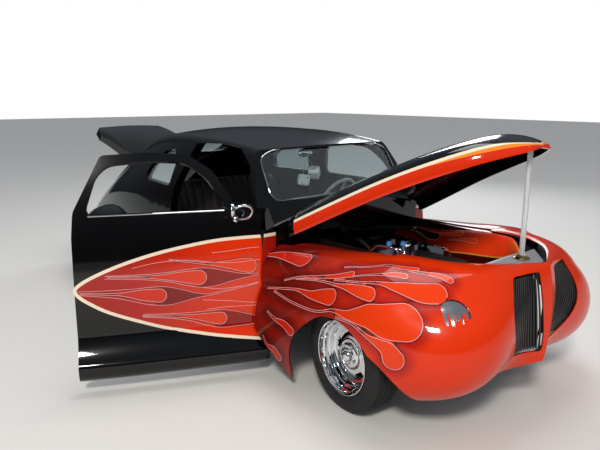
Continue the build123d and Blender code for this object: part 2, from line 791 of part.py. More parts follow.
# Door mirrors: an oval head on a curved neck
mirror_foot = (-840, 752, 1000)
mirror_head = (-850, 896, 1040)
with BuildPart() as mirror_body:
    Sphere(50)
    scale(by=(0.55, 1.15, 0.72))
    block(-24, 60, -80, 80, -60, 60, mode=Mode.INTERSECT)
with BuildPart() as door_mirror_left:
    rod(mirror_foot, (-838, 800, 1006), 7)
    rod((-838, 798, 1005), (-842, 842, 1022), 7)
    rod((-842, 840, 1021), mirror_head, 7)
    add(mirror_body.part.moved(Location(mirror_head)))
with BuildPart() as door_mirror_right:
    add(door_mirror_left.part.mirror(Plane.XZ).rotate(right_door_axis, door_open))

# Front suspension: wishbones end in bosses above and below each knuckle
knuckle_low = 222
knuckle_high = 418
arm_radius = 11
with BuildPart() as front_suspension:
    for z, boss_low, boss_high in ((209, 194, knuckle_low - seat_gap), (431, knuckle_high + seat_gap, 444)):
        rod((-110, 390, z), (0, kingpin_y, z), arm_radius)
        rod((110, 390, z), (0, kingpin_y, z), arm_radius)
        rod((0, kingpin_y, boss_low), (0, kingpin_y, boss_high), 24)
    block(-130, 130, 375.3, 392, 200, 445)
    mirror(about=Plane.XZ)
with BuildPart() as knuckle:
    rod((0, kingpin_y, knuckle_low), (0, kingpin_y, knuckle_high), 18)
    rod((0, kingpin_y, hub_height), (0, kingpin_y + 68, hub_height), 26)
    rod((0, kingpin_y, hub_height), (-110, kingpin_y - 10, hub_height - 30), 10)
with BuildPart() as rear_axle:
    rod((-wheelbase, -640, hub_height), (-wheelbase, 640, hub_height), 36)
    with Locations((-wheelbase, 0, hub_height)):
        Sphere(130)
    rod((-wheelbase + 110, 0, hub_height), (-1250, 0, hub_height + 30), 30)

# Wheels: a deep stepped rim, a slotted disc, a domed hub and its nuts
rim_section = [
    (207, -84), (198, -84), (182, -62), (168, -40), (160, 0), (160, 36), (178, 58), (196, 84), (207, 84),
    (207, 78), (203, 78), (184, 52), (168, 32), (168, 4), (176, -40), (190, -62), (203, -78), (207, -78),
]
disc_section = [(0, 6), (0, 16), (70, 22), (120, 10), (164, 20), (164, 12), (120, 0), (70, 10)]
slot_radius = 118
lug_radius = 54
with BuildPart() as wheel_form:
    with BuildSketch(Plane.XY):
        for section in (rim_section, disc_section):
            with BuildLine():
                Polyline(*section, close=True)
            make_face()
    revolve(axis=Axis.Y)
    with BuildSketch(Plane.XZ.offset(30)):
        with PolarLocations(slot_radius, 5):
            SlotOverall(70, 34, rotation=90)
    extrude(amount=-80, mode=Mode.SUBTRACT)
    with BuildSketch(Plane.XY):
        with BuildLine():
            ThreePointArc((0, 56), (22, 50), (34, 32))
            Polyline((34, 32), (40, 14), (0, 12), (0, 56))
        make_face()
    revolve(axis=Axis.Y)
    with BuildSketch(Plane.XZ.offset(-12)):
        with PolarLocations(lug_radius, 5):
            Circle(9)
    extrude(amount=-24)
with BuildPart() as tyre_form:
    with BuildSketch(Plane.XY):
        with BuildLine():
            Polyline((208, 64), (208, 78))
            ThreePointArc((208, 78), (255, 96), (286, 82))
            ThreePointArc((286, 82), (304, 0), (286, -82))
            ThreePointArc((286, -82), (255, -96), (208, -78))
            Polyline((208, -78), (208, -64))
            ThreePointArc((208, -64), (250, -84), (276, -70))
            ThreePointArc((276, -70), (290, 0), (276, 70))
            ThreePointArc((276, 70), (250, 84), (208, 64))
        make_face()
    revolve(axis=Axis.Y)

steer_left_axis = Axis((0, kingpin_y, 0), (0, 0, 1))
steer_right_axis = Axis((0, -kingpin_y, 0), (0, 0, 1))
wheels = {}
for name, form in (("wheel", wheel_form.part), ("tyre", tyre_form.part)):
    left = form.moved(Location((0, track_half, hub_height)))
    right = form.mirror(Plane.XZ).moved(Location((0, -track_half, hub_height)))
    wheels[name + "_front_left"] = left.rotate(steer_left_axis, steer_rest)
    wheels[name + "_front_right"] = right.rotate(steer_right_axis, steer_rest)
    wheels[name + "_rear_left"] = left.moved(Location((-wheelbase, 0, 0)))
    wheels[name + "_rear_right"] = right.moved(Location((-wheelbase, 0, 0)))

exhaust_y = 250
exhaust_z = 152
hangers = [(-1040, 192), (-2225, 196), (-3810, 275)]
with BuildPart() as exhaust:
    for side in (1, -1):
        rod((-500, side * exhaust_y, exhaust_z), (-3900, side * exhaust_y, exhaust_z), 24)
        rod((-2100, side * exhaust_y, exhaust_z), (-1500, side * exhaust_y, exhaust_z), 46)
        for x, z in hangers:
            block(x - 10, x + 10, side * exhaust_y - 3, side * exhaust_y + 3, exhaust_z, z - seat_gap)
with BuildPart() as tail_lamps:
    for side in (1, -1):
        rod((-3960.3, side * 340, 385), (-3984, side * 340, 385), 34)

nodes = {
    "body_shell": body_shell.part, "door_left": door_left.part, "door_right": door_right.part,
    "decklid": decklid_raised.part, "rear_glass": rear_glass.part, "windshield": windshield.part,
    "nose_panel": nose_panel.part, "front_fender_left": front_fender_left.part,
    "front_fender_right": front_fender_right.part, "headlamps": headlamps.part,
    "headlamp_covers": headlamp_covers.part, "grille": grille.part,
    "rear_fender_left": rear_fender_left.part, "rear_fender_right": rear_fender_right.part,
    "hood": hood.part.rotate(hood_axis, hood_open), "chassis_frame": chassis_frame.part,
    "floor_pan": floor_pan.part, "engine_block": engine_block.part, "engine_top": engine_top.part,
    "engine_dress": engine_dress.part,
    "radiator": radiator.part, "bay_aprons": bay_aprons.part, "radiator_cover": radiator_cover.part,
    "prop_rod": prop_rod.part, "dashboard": dashboard.part, "bench_seat": bench_seat.part,
    "steering_column": steering_column.part, "steering_wheel": steering_wheel.part,
    "cabin_mirror": cabin_mirror.part, "door_mirror_left": door_mirror_left.part,
    "door_mirror_right": door_mirror_right.part, "front_suspension": front_suspension.part,
    "knuckle_left": knuckle.part.rotate(steer_left_axis, steer_rest),
    "knuckle_right": knuckle.part.mirror(Plane.XZ).rotate(steer_right_axis, steer_rest),
    "rear_axle": rear_axle.part, "exhaust": exhaust.part, "tail_lamps": tail_lamps.part, **wheels,
}
for name, piece in nodes.items():
    placed = piece.moved(Location((centre_shift_x, centre_shift_y, 0)))
    placed.label = name
    export_step(placed, f"parts/{name}.step")
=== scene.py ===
# %% [markdown]
# # A chopped hot rod coupe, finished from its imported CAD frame
#
# The CAD part gives every piece its place, its joints and its true size. This script adds what a
# CAD part can't carry well: smooth painted skins with flame licks and pinstripes, chrome wheels,
# tyre tread, upholstery and the small fittings under the open hood. Lengths are in metres.

# %% The frame
import math

import bpy
import numpy as np
from mathutils import Matrix, Vector


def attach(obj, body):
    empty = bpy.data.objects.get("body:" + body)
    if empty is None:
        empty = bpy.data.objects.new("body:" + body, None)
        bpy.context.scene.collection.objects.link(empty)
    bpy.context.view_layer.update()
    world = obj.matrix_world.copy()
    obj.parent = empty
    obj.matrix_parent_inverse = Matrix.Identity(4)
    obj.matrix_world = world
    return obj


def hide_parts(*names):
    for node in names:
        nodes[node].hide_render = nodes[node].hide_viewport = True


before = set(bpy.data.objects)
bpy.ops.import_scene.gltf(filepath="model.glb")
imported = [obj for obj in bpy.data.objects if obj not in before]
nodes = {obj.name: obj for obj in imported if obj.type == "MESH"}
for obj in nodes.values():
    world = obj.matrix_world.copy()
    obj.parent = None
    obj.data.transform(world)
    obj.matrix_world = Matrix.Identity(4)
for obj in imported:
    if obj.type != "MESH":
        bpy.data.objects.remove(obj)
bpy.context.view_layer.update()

# %% [markdown]
# ## Colours and finishes
#
# Shaders work in linear light, while a colour is given as an sRGB code. One function turns
# the code into linear numbers, so that every finish below can be read as a normal colour.

# %% Colour and node helpers


def linear(code):
    """sRGB hex to linear light: c / 12.92 below 0.04045, else ((c + 0.055) / 1.055) ** 2.4."""
    channels = np.array([int(code[i:i + 2], 16) for i in (0, 2, 4)]) / 255
    out = np.where(channels <= 0.04045, channels / 12.92, ((channels + 0.055) / 1.055) ** 2.4)
    return (*(float(c) for c in out), 1.0)


def add_node(tree, kind, inputs=(), **settings):
    """Adds one shader node; inputs pairs a socket with a value or with another node's output."""
    made = tree.nodes.new("ShaderNode" + kind)
    for name, value in settings.items():
        setattr(made, name, value)
    for socket, value in inputs:
        if isinstance(value, bpy.types.NodeSocket):
            tree.links.new(value, made.inputs[socket])
        else:
            made.inputs[socket].default_value = value
    return made


def finish_of(name, code, metallic=0.0, rough=0.5, coat=0.0, coat_rough=0.03, **extra):
    """One real finish as a Principled shader whose constants sit on its own sockets."""
    material = bpy.data.materials.new(name)
    material.use_nodes = True
    shader = material.node_tree.nodes["Principled BSDF"]
    shader.inputs["Base Color"].default_value = linear(code)
    shader.inputs["Metallic"].default_value = metallic
    shader.inputs["Roughness"].default_value = rough
    shader.inputs["Coat Weight"].default_value = coat
    shader.inputs["Coat Roughness"].default_value = coat_rough
    for socket, value in extra.items():
        shader.inputs[socket.replace("_", " ")].default_value = value
    return material


# Black enamel under clear lacquer: hardly any light of its own, and sharp reflections from the coat
black, black_gloss = "060607", {"rough": 0.2, "coat": 0.85, "Specular_IOR_Level": 0.05}
black_paint = finish_of("black_gloss_paint", black, **black_gloss)
# Coloured enamels, sprayed and lacquered: an even colour under a clear shine
orange_paint = finish_of("orange_gloss_paint", "D8260C", rough=0.3, coat=1.0)
cream_paint = finish_of("cream_stripe_paint", "F0DCC2", rough=0.3, coat=1.0)
# Signwriter's enamel, laid on with a brush: a fine line, a little duller than the lacquer round it
pinstripe_paint = finish_of("rose_pinstripe_enamel", "E79A98", rough=0.35, coat=0.6)
gold_paint = finish_of("gold_edge_paint", "E8A43C", rough=0.3, coat=1.0)
# Steel sprayed without lacquer: dark, with one wide soft highlight
satin_black = finish_of("satin_black_steel", "161618", rough=0.5, coat=0.15)
bay_black = finish_of("engine_bay_black", "0C0C0D", rough=0.6)
# Plated, turned and cast metals: chrome mirrors the room, and the others blur it more and more
chrome = finish_of("polished_chrome", "E6E8EB", metallic=1.0, rough=0.06)
steel = finish_of("machined_steel", "9C9DA0", metallic=1.0, rough=0.35)
alloy = finish_of("cast_aluminium", "A9ABAE", metallic=1.0, rough=0.42)
# Cast iron brushed with plain paint, dull and a little uneven; then brass rubbed to a warm shine
iron = finish_of("painted_cast_iron", "2A2A2C", rough=0.55)
brass = finish_of("polished_brass", "C9A15A", metallic=1.0, rough=0.22)
# Moulded rubber and ABS: matt, because the mould leaves a fine texture
rubber = finish_of("tyre_rubber", "1A1A1B", rough=0.78)
black_plastic = finish_of("black_plastic", "151516", rough=0.5)
# Sheet under a satin grey enamel; then clear glass and a scuffed acrylic stick that let light through
grey_paint = finish_of("grey_satin_paint", "8E9093", rough=0.42, coat=0.3)
glass = finish_of("window_glass", "D3DFE1", rough=0.02, Transmission_Weight=1.0)
acrylic = finish_of("clear_acrylic", "E9ECEF", rough=0.18, Transmission_Weight=0.55)
# Moulded lens plastic, tanned hide, and the silvered bowl of a lamp
red_lens = finish_of("red_lens_plastic", "A01010", rough=0.12, coat=0.6)
tan_leather = finish_of("tan_leather", "8A6B4C", rough=0.55)
lamp_silver = finish_of("lamp_reflector", "DCDEE0", metallic=1.0, rough=0.12)
print("finishes:", len(bpy.data.materials))

# The first start of a name that fits gives the node its finish
by_node = {
    "body_shell": black_paint, "decklid": black_paint, "rear_fender": black_paint, "door_mirror": chrome,
    "door": black_paint, "hood": black_paint, "nose_panel": orange_paint, "front_fender": orange_paint,
    "headlamp_covers": orange_paint, "headlamps": lamp_silver, "grille": satin_black,
    "rear_glass": glass, "windshield": glass, "chassis": satin_black, "floor_pan": satin_black,
    "engine_block": iron, "engine_top": chrome, "engine_dress": alloy, "radiator_cover": grey_paint,
    "radiator": alloy, "bay_aprons": bay_black, "prop_rod": acrylic, "dashboard": black_paint,
    "bench_seat": tan_leather, "steering_column": satin_black, "steering_wheel": satin_black,
    "cabin_mirror": black_plastic, "front_suspension": satin_black, "knuckle": iron, "rear_axle": iron,
    "exhaust": steel, "tail_lamps": red_lens, "wheel_": chrome, "tyre_": rubber,
}
for name, piece in nodes.items():
    piece.data.materials.clear()
    piece.data.materials.append(next(finish for start, finish in by_node.items() if name.startswith(start)))

# %% [markdown]
# ## The camera and the light
#
# The car was measured from one low view past its right front corner. The camera keeps that place,
# a focal length of 36 mm on a 36 mm sensor and a small roll. Three large soft lamps and a pale
# surround light the paint, and the floor is plain.

# %% Camera, lamps, floor
# From the car's own coordinates, with x ahead of the front axle and y left of the middle, to the frame's
shift = np.array([1.619, 0.424, 0.0])
eye = np.array([2.0485, -2.9502, 1.6853]) + shift
yaw, pitch, roll = 2.406849, 0.213775, 0.005346
ahead = np.array([math.cos(yaw) * math.cos(pitch), math.sin(yaw) * math.cos(pitch), -math.sin(pitch)])
level = np.array([math.sin(yaw), -math.cos(yaw), 0.0])
upward = np.cross(level, ahead)
right = math.cos(roll) * level + math.sin(roll) * upward
upward = -math.sin(roll) * level + math.cos(roll) * upward
lens = bpy.data.cameras.new("camera")
lens.sensor_width, lens.lens = 36.0, 35.829
lens.clip_end = 100
camera = bpy.data.objects.new("camera", lens)
camera.matrix_world = Matrix([[*column] for column in np.column_stack([right, upward, -ahead, eye]).tolist()]
                             + [[0, 0, 0, 1]])
bpy.context.scene.collection.objects.link(camera)
bpy.context.scene.camera = camera


def soft_lamp(name, place, target, size, watts, tint=(1, 1, 1)):
    """A square area lamp aimed from one point at another."""
    light = bpy.data.lights.new(name, "AREA")
    light.shape, light.size, light.energy, light.color = "SQUARE", size, watts, tint
    lamp = bpy.data.objects.new(name, light)
    way = Vector(target) - Vector(place)
    lamp.matrix_world = Matrix.Translation(place) @ way.to_track_quat("-Z", "Y").to_matrix().to_4x4()
    bpy.context.scene.collection.objects.link(lamp)


soft_lamp("key_lamp", (6.5, -6.5, 7.5), (0.8, -0.2, 0.5), 1.6, 700, (1.0, 0.96, 0.90))
soft_lamp("over_lamp", (0.5, 1.0, 6.5), (0.3, 0.0, 0.6), 3.0, 130)
soft_lamp("far_lamp", (-3.0, 6.5, 4.0), (0.3, 0.4, 0.8), 2.5, 120, (0.94, 0.97, 1.0))

floor_mesh = bpy.data.meshes.new("floor")
reach = 40
floor_mesh.from_pydata([(-reach, -reach, 0), (reach, -reach, 0), (reach, reach, 0), (-reach, reach, 0)], [],
                       [(0, 1, 2, 3)])
floor = bpy.data.objects.new("floor", floor_mesh)
bpy.context.scene.collection.objects.link(floor)
floor_mesh.materials.append(finish_of("pale_floor", "DEDCD8", rough=0.9, Specular_IOR_Level=0.2))

world = bpy.data.worlds.new("studio")
bpy.context.scene.world = world
world.use_nodes = True
sky = world.node_tree
sky.nodes.clear()
paths = add_node(sky, "LightPath")
way = add_node(sky, "TexCoord")
height = add_node(sky, "SeparateXYZ", [(0, way.outputs["Generated"])])
ramp = add_node(sky, "ValToRGB", [(0, height.outputs["Z"])])
for element, spot, code in zip(ramp.color_ramp.elements, (0.05, 0.60), ("4A4D52", "C9D3E0")):
    element.position, element.color = spot, linear(code)
mirrored_sky = add_node(sky, "Background", [("Color", ramp.outputs["Color"]), ("Strength", 0.32)])
soft_sky = add_node(sky, "Background", [("Color", linear("E8EDF4")), ("Strength", 0.52)])
seen = add_node(sky, "Background", [("Color", linear("FFFFFF")), ("Strength", 1.0)])
around = add_node(sky, "MixShader", [(0, paths.outputs["Is Glossy Ray"]), (1, soft_sky.outputs[0]),
                                     (2, mirrored_sky.outputs[0])])
rays = [paths.outputs["Is Camera Ray"], paths.outputs["Is Transmission Ray"]]
through = add_node(sky, "Math", enumerate(rays), operation="MAXIMUM")
both = add_node(sky, "MixShader", [(0, through.outputs[0]), (1, around.outputs[0]), (2, seen.outputs[0])])
add_node(sky, "OutputWorld", [("Surface", both.outputs[0])])
bpy.context.scene.view_settings.view_transform = "Standard"
print("lamps:", len(bpy.data.lights), "focal length:", round(lens.lens, 2), "mm")

# %% [markdown]
# ## Surfaces from stations
#
# A car's skin is drawn as stations: plane outlines made of arcs, set one behind the other. A
# natural cubic spline through matching points of the stations gives a smooth grid. Outlines in two
# dimensions then trim the grid for doors, windows, lamps and wheel arches: each triangle that the
# outline crosses is cut where its distance field is zero, so the edge is as true as the outline.

# %% Surface helpers


def arc_points(a, b, c, count):
    """Points of the circle arc from a through b to c: centre o with |a-o| = |b-o| = |c-o|."""
    a, b, c = (np.asarray(p, float) for p in (a, b, c))
    d = 2 * (a[0] * (b[1] - c[1]) + b[0] * (c[1] - a[1]) + c[0] * (a[1] - b[1]))
    if abs(d) < 1e-12:
        return a + (c - a) * np.linspace(0, 1, count)[:, None]
    aa, bb, cc = (p @ p for p in (a, b, c))
    o = np.array([aa * (b[1] - c[1]) + bb * (c[1] - a[1]) + cc * (a[1] - b[1]),
                  aa * (c[0] - b[0]) + bb * (a[0] - c[0]) + cc * (b[0] - a[0])]) / d
    radius = np.hypot(*(a - o))
    start, middle, end = (math.atan2(*(p - o)[::-1]) for p in (a, b, c))
    middle, end = (middle - start) % (2 * math.pi), (end - start) % (2 * math.pi)
    if middle > end:
        end -= 2 * math.pi
    turn = start + end * np.linspace(0, 1, count)
    return o + radius * np.stack([np.cos(turn), np.sin(turn)], 1)


def through_stations(stations, steps):
    """Natural cubic through stations (k, m, 3); its parameter is the mean distance between them."""
    stations = np.asarray(stations, float)
    h = np.linalg.norm(np.diff(stations, axis=0), axis=2).mean(1)
    k = len(stations)
    left, bend = np.eye(k), np.zeros_like(stations)
    for i in range(1, k - 1):
        left[i, i - 1:i + 2] = h[i - 1], 2 * (h[i - 1] + h[i]), h[i]
        bend[i] = 6 * ((stations[i + 1] - stations[i]) / h[i] - (stations[i] - stations[i - 1]) / h[i - 1])
    bend = np.linalg.solve(left, bend.reshape(k, -1)).reshape(stations.shape)
    rows = []
    for i in range(k - 1):
        count = steps if np.isscalar(steps) else steps[i]
        for u in np.linspace(0, h[i], count, endpoint=False):
            v = h[i] - u
            rows.append(bend[i] * v**3 / (6 * h[i]) + bend[i + 1] * u**3 / (6 * h[i])
                        + (stations[i] / h[i] - bend[i] * h[i] / 6) * v
                        + (stations[i + 1] / h[i] - bend[i + 1] * h[i] / 6) * u)
    rows.append(stations[-1])
    return np.array(rows)


def grid_triangles(n, m, wrap_rows=False, wrap_columns=False):
    """Two triangles for each cell of an n by m grid of points, joined up round it where asked."""
    i, j = np.meshgrid(np.arange(n - 1 + wrap_rows), np.arange(m - 1 + wrap_columns), indexing="ij")
    i, j, i_next, j_next = (k.ravel() for k in (i, j, (i + 1) % n, (j + 1) % m))
    a, b, c, d = i * m + j, i_next * m + j, i_next * m + j_next, i * m + j_next
    return np.concatenate([np.stack([a, b, c], 1), np.stack([a, c, d], 1)])


def row_distances(grid):
    """The distance of each point of a grid from the first one of its row, along the row."""
    steps = np.linalg.norm(np.diff(grid, axis=1), axis=2)
    return np.concatenate([np.zeros((len(grid), 1)), np.cumsum(steps, 1)], 1)


def rounded(points, radius, steps=6):
    """A closed outline with each corner replaced by a parabola that starts radius before it."""
    points = np.asarray(points, float)
    out = []
    for i, p in enumerate(points):
        before, after = points[i - 1] - p, points[(i + 1) % len(points)] - p
        r = min(radius, 0.45 * np.hypot(*before), 0.45 * np.hypot(*after))
        a, c = p + before * (r / np.hypot(*before)), p + after * (r / np.hypot(*after))
        for t in np.linspace(0, 1, steps):
            out.append((1 - t) ** 2 * a + 2 * t * (1 - t) * p + t * t * c)
    return np.array(out)


def outside(outline, x, y):
    """Signed distance to a closed outline: positive outside it, negative inside."""
    x, y = np.asarray(x, float), np.asarray(y, float)
    best, winding = np.full(x.shape, 1e9), np.zeros(x.shape, bool)
    for a, b in zip(outline, np.roll(outline, -1, 0)):
        e = b - a
        t = np.clip(((x - a[0]) * e[0] + (y - a[1]) * e[1]) / max(e @ e, 1e-12), 0, 1)
        best = np.minimum(best, np.hypot(x - a[0] - t * e[0], y - a[1] - t * e[1]))
        crosses = ((a[1] > y) != (b[1] > y))
        rise = e[1] if abs(e[1]) > 1e-12 else 1e-12
        winding ^= crosses & (x < a[0] + (y - a[1]) / rise * e[0])
    return np.where(winding, -best, best)


def trim(points, faces, field, extra):
    """Keeps what lies where field is above zero; extra is a dict of per-point values."""
    field = np.where(np.abs(field) < 1e-9, 1e-9, field)
    kept = field > 0
    count = kept[faces].sum(1)
    part = faces[(count == 1) | (count == 2)]
    whole = faces[count == 3]
    if len(part):
        ends = np.sort(np.stack([part, np.roll(part, -1, 1)], 2).reshape(-1, 2), 1)
        cross = kept[ends[:, 0]] != kept[ends[:, 1]]
        pairs, index = np.unique(ends[cross], axis=0, return_inverse=True)
        t = field[pairs[:, 0]] / (field[pairs[:, 0]] - field[pairs[:, 1]])
        number = np.full(len(ends), -1)
        number[cross] = len(points) + index.ravel()
        number = number.reshape(-1, 3)

        def mixed(values):
            w = t.reshape(-1, *[1] * (values.ndim - 1))
            return np.concatenate([values, values[pairs[:, 0]] * (1 - w) + values[pairs[:, 1]] * w])

        one = kept[part].sum(1) == 1
        odd = np.where(one, kept[part].argmax(1), (~kept[part]).argmax(1))
        order = (odd[:, None] + np.arange(3)) % 3
        v, n = np.take_along_axis(part, order, 1), np.take_along_axis(number, order, 1)
        whole = np.concatenate([
            whole, np.stack([v[one, 0], n[one, 0], n[one, 2]], 1),
            np.stack([n[~one, 0], v[~one, 1], v[~one, 2]], 1),
            np.stack([n[~one, 0], v[~one, 2], n[~one, 2]], 1)])
        points = mixed(points)
        extra = {name: mixed(values) for name, values in extra.items()}
    used, faces = np.unique(whole, return_inverse=True)
    return points[used], faces.reshape(-1, 3), {name: values[used] for name, values in extra.items()}


def normals_of(points, faces):
    """Area-weighted unit normals at the points of a triangle mesh."""
    a, b, c = (points[faces[:, i]] for i in range(3))
    area = np.cross(b - a, c - a)
    total = np.zeros_like(points)
    for i in range(3):
        np.add.at(total, faces[:, i], area)
    return total / np.maximum(np.linalg.norm(total, axis=1, keepdims=True), 1e-12)


def shelled(points, faces, extra, depth):
    """Gives a skin a back face depth behind it and a rim; 'face' is 1 on the front and 0 behind."""
    back = points - normals_of(points, faces) * depth
    n = len(points)
    edges = np.stack([faces, np.roll(faces, -1, 1)], 2).reshape(-1, 2)
    key = np.sort(edges, 1)
    first, count = np.unique(key, axis=0, return_index=True, return_counts=True)[1:]
    rim = edges[first[count == 1]]
    sides = np.concatenate([np.stack([rim[:, 1], rim[:, 0], rim[:, 0] + n], 1),
                            np.stack([rim[:, 1], rim[:, 0] + n, rim[:, 1] + n], 1)])
    extra = {name: np.concatenate([values, values]) for name, values in extra.items()}
    extra["face"] = np.concatenate([np.ones(n), np.zeros(n)])
    return np.concatenate([points, back]), np.concatenate([faces, faces[:, ::-1] + n, sides]), extra


def add_mesh(name, form, materials, body, sharp=35.0, replaces=(), slot=None, which=None):
    """One finished piece from (points, faces) or (points, faces, attributes) in the car's own
    coordinates. Its object stays at the origin of the frame and rides on a CAD body."""
    points, faces, attributes = (*form, {})[:3]
    mesh = bpy.data.meshes.new(name)
    points, faces = np.ascontiguousarray(points + shift, float), [list(map(int, f)) for f in faces]
    mesh.from_pydata(points.tolist(), [], faces)
    mesh.polygons.foreach_set("use_smooth", np.ones(len(mesh.polygons), bool))
    for key, values in attributes.items():
        layer = mesh.attributes.new(key, "FLOAT", "POINT")
        layer.data.foreach_set("value", np.ascontiguousarray(values, np.float32))
    materials = materials if isinstance(materials, (list, tuple)) else [materials]
    for material in materials:
        mesh.materials.append(material)
    if which is not None:
        mesh.polygons.foreach_set("material_index", np.ascontiguousarray(which, np.int32))
    if sharp:
        mesh.set_sharp_from_angle(angle=math.radians(sharp))
    mesh.validate(clean_customdata=False)
    mesh.update()
    piece = bpy.data.objects.new(name, mesh)
    bpy.context.scene.collection.objects.link(piece)
    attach(piece, body)
    if replaces:
        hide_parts(*replaces)
    print(f"{name}: {len(points)} points, {sum(len(f) - 2 for f in faces)} triangles")
    return piece


def outward(points, faces):
    """A closed form, its faces turned outward: the signed volume of its cones has to be positive."""
    a, b, c = (points[faces[:, i]] for i in range(3))
    volume = np.einsum("ij,ij->i", a, np.cross(b, c)).sum()
    return points, faces if volume > 0 else faces[:, ::-1]


def on_side(form, side):
    """A form of the left side as it is (side 1), or mirrored to the right (side -1)."""
    points, faces, *attributes = form
    return form if side > 0 else (points * np.array([1, -1, 1]), faces[:, ::-1], *attributes)


def both_sides(name, form, material, stands=(), shared=(), place=on_side, body="car", **options):
    """A piece on the left and its twin on the right. stands names the CAD nodes that each one
    replaces, with {} for its side, and shared those that the left one replaces alone."""
    for side, label in ((1, "left"), (-1, "right")):
        replaces = tuple(node.format(label) for node in stands) + (shared if side > 0 else ())
        add_mesh(f"{name}_{label}", place(form, side), material, body.format(label), replaces=replaces,
                 **options)


def turned(points, pivot, axis, degrees):
    """Points turned about an axis through pivot, by Rodrigues' formula."""
    k, t = np.asarray(axis, float), math.radians(degrees)
    k = k / np.linalg.norm(k)
    p = np.asarray(points, float) - pivot
    return (p * math.cos(t) + np.cross(k, p) * math.sin(t) + np.outer(p @ k, k) * (1 - math.cos(t))) + pivot


# %% [markdown]
# ## Flames and pinstripes
#
# Each lick is a spine: a few points along the panel, each with the lick's half width there. The
# field of a lick is the distance to the nearest of its discs less that disc's radius, so it is
# negative inside. The shader turns the field into colour, and a thin enamel line follows the edge.

# %% Licks


def smooth_path(points, steps=10):
    """A Catmull-Rom curve through rows of numbers, all columns treated alike."""
    points = np.asarray(points, float)
    p = np.concatenate([2 * points[:1] - points[1:2], points, 2 * points[-1:] - points[-2:-1]])
    out = []
    for i in range(1, len(p) - 2):
        for t in np.linspace(0, 1, steps, endpoint=False):
            out.append(0.5 * (2 * p[i] + (p[i + 1] - p[i - 1]) * t
                              + (2 * p[i - 1] - 5 * p[i] + 4 * p[i + 1] - p[i + 2]) * t**2
                              + (3 * p[i] - p[i - 1] - 3 * p[i + 1] + p[i + 2]) * t**3))
    return np.array(out + [p[-2]])


def lick_field(licks, a, b):
    """Least distance to any lick's edge, negative inside a lick."""
    field = np.full(a.shape, 1.0)
    for lick in licks:
        for u, v, r in smooth_path(lick):
            field = np.minimum(field, np.hypot(a - u, b - v) - r)
    return field


def beside(spine):
    """Unit vectors along a spine and square to it, at each of its points."""
    way = np.gradient(spine[:, :2], axis=0)
    way /= np.linalg.norm(way, axis=1, keepdims=True)
    return way, np.stack([-way[:, 1], way[:, 0]], 1)


def lick_edge(lick):
    """The outline of a lick: one side of its spine, round its head, and back on the other side."""
    spine = smooth_path(lick, 12)
    way, side = beside(spine)
    r = spine[:, 2:3]
    t = np.linspace(0, math.pi, 16)[1:-1, None]
    cap = spine[0, :2] + r[0] * (np.cos(t) * side[0] - np.sin(t) * way[0])
    return np.concatenate([(spine[:, :2] + side * r)[::-1], cap, spine[:, :2] - side * r])


class Panel:
    """A grid with its own coordinates: a runs along it, b across it. Its faces look the way that
    makes coordinate k of the normal at point (i, j) positive, where seen is (i, j, k)."""

    def __init__(self, points, a, b, seen):
        self.points, self.a, self.b = points, a, b
        self.faces = grid_triangles(*points.shape[:2])
        self.normals = normals_of(points.reshape(-1, 3), self.faces).reshape(points.shape)
        if self.normals[seen] < 0:
            self.faces, self.normals = self.faces[:, ::-1], -self.normals

    def skin(self, **attributes):
        """Its points, its faces, and its coordinates and any others as values of the points."""
        values = {"along": np.repeat(self.a, self.points.shape[1]), "across": self.b.ravel(), **attributes}
        return self.points.reshape(-1, 3), self.faces, values

    def place(self, a, b, lift=0.0):
        """The point of the panel at (a, b), and its normal, by linear interpolation."""
        column = np.interp(a, self.a, np.arange(len(self.a)))
        out, out_normal = [], []
        for u, v in zip(column, b):
            i = min(int(u), len(self.a) - 2)
            spot = [], []
            for k in (i, i + 1):
                j = np.interp(v, self.b[k], np.arange(self.b.shape[1]))
                j0 = min(int(j), self.b.shape[1] - 2)
                for values, store in ((self.points, spot[0]), (self.normals, spot[1])):
                    store.append(values[k, j0] * (1 - j + j0) + values[k, j0 + 1] * (j - j0))
            w = u - i
            out.append(spot[0][0] * (1 - w) + spot[0][1] * w)
            out_normal.append(spot[1][0] * (1 - w) + spot[1][1] * w)
        out, out_normal = np.array(out), np.array(out_normal)
        out_normal /= np.linalg.norm(out_normal, axis=1, keepdims=True)
        return out + out_normal * lift, out_normal


def ribbon(panel, path, width, lift=0.0006):
    """A flat painted line on a panel: path is (a, b) points, width its full width."""
    centre, normal = panel.place(path[:, 0], path[:, 1], lift)
    way = np.gradient(centre, axis=0)
    across = np.cross(normal, way)
    across /= np.maximum(np.linalg.norm(across, axis=1, keepdims=True), 1e-9)
    width = np.broadcast_to(np.asarray(width, float), len(path))[:, None]
    points = np.stack([centre - across * width / 2, centre + across * width / 2], 1).reshape(-1, 3)
    k = 2 * np.arange(len(path) - 1)
    faces = np.concatenate([np.stack([k, k + 2, k + 3], 1), np.stack([k, k + 3, k + 1], 1)])
    if (normals_of(points, faces).reshape(-1, 2, 3)[:, 0] * normal).sum() < 0:
        faces = faces[:, ::-1]
    return points, faces


def merged(parts):
    """Several (points, faces) pairs as one."""
    points, faces, base = [], [], 0
    for p, f in parts:
        points.append(p)
        faces.append(np.asarray(f) + base)
        base += len(p)
    return np.concatenate(points), np.concatenate(faces)


def covered(tree, below, over, value, low, high):
    """A colour with another laid over it by a smooth step, none at value = low and all at high. A
    colour is an sRGB code or another node's output."""
    step = add_node(tree, "MapRange", [("Value", value), ("From Min", low), ("From Max", high)],
                    interpolation_type="SMOOTHSTEP")
    below, over = (linear(c) if isinstance(c, str) else c for c in (below, over))
    return add_node(tree, "Mix", [("Factor", step.outputs[0]), (6, below), (7, over)],
                    data_type="RGBA").outputs[2]


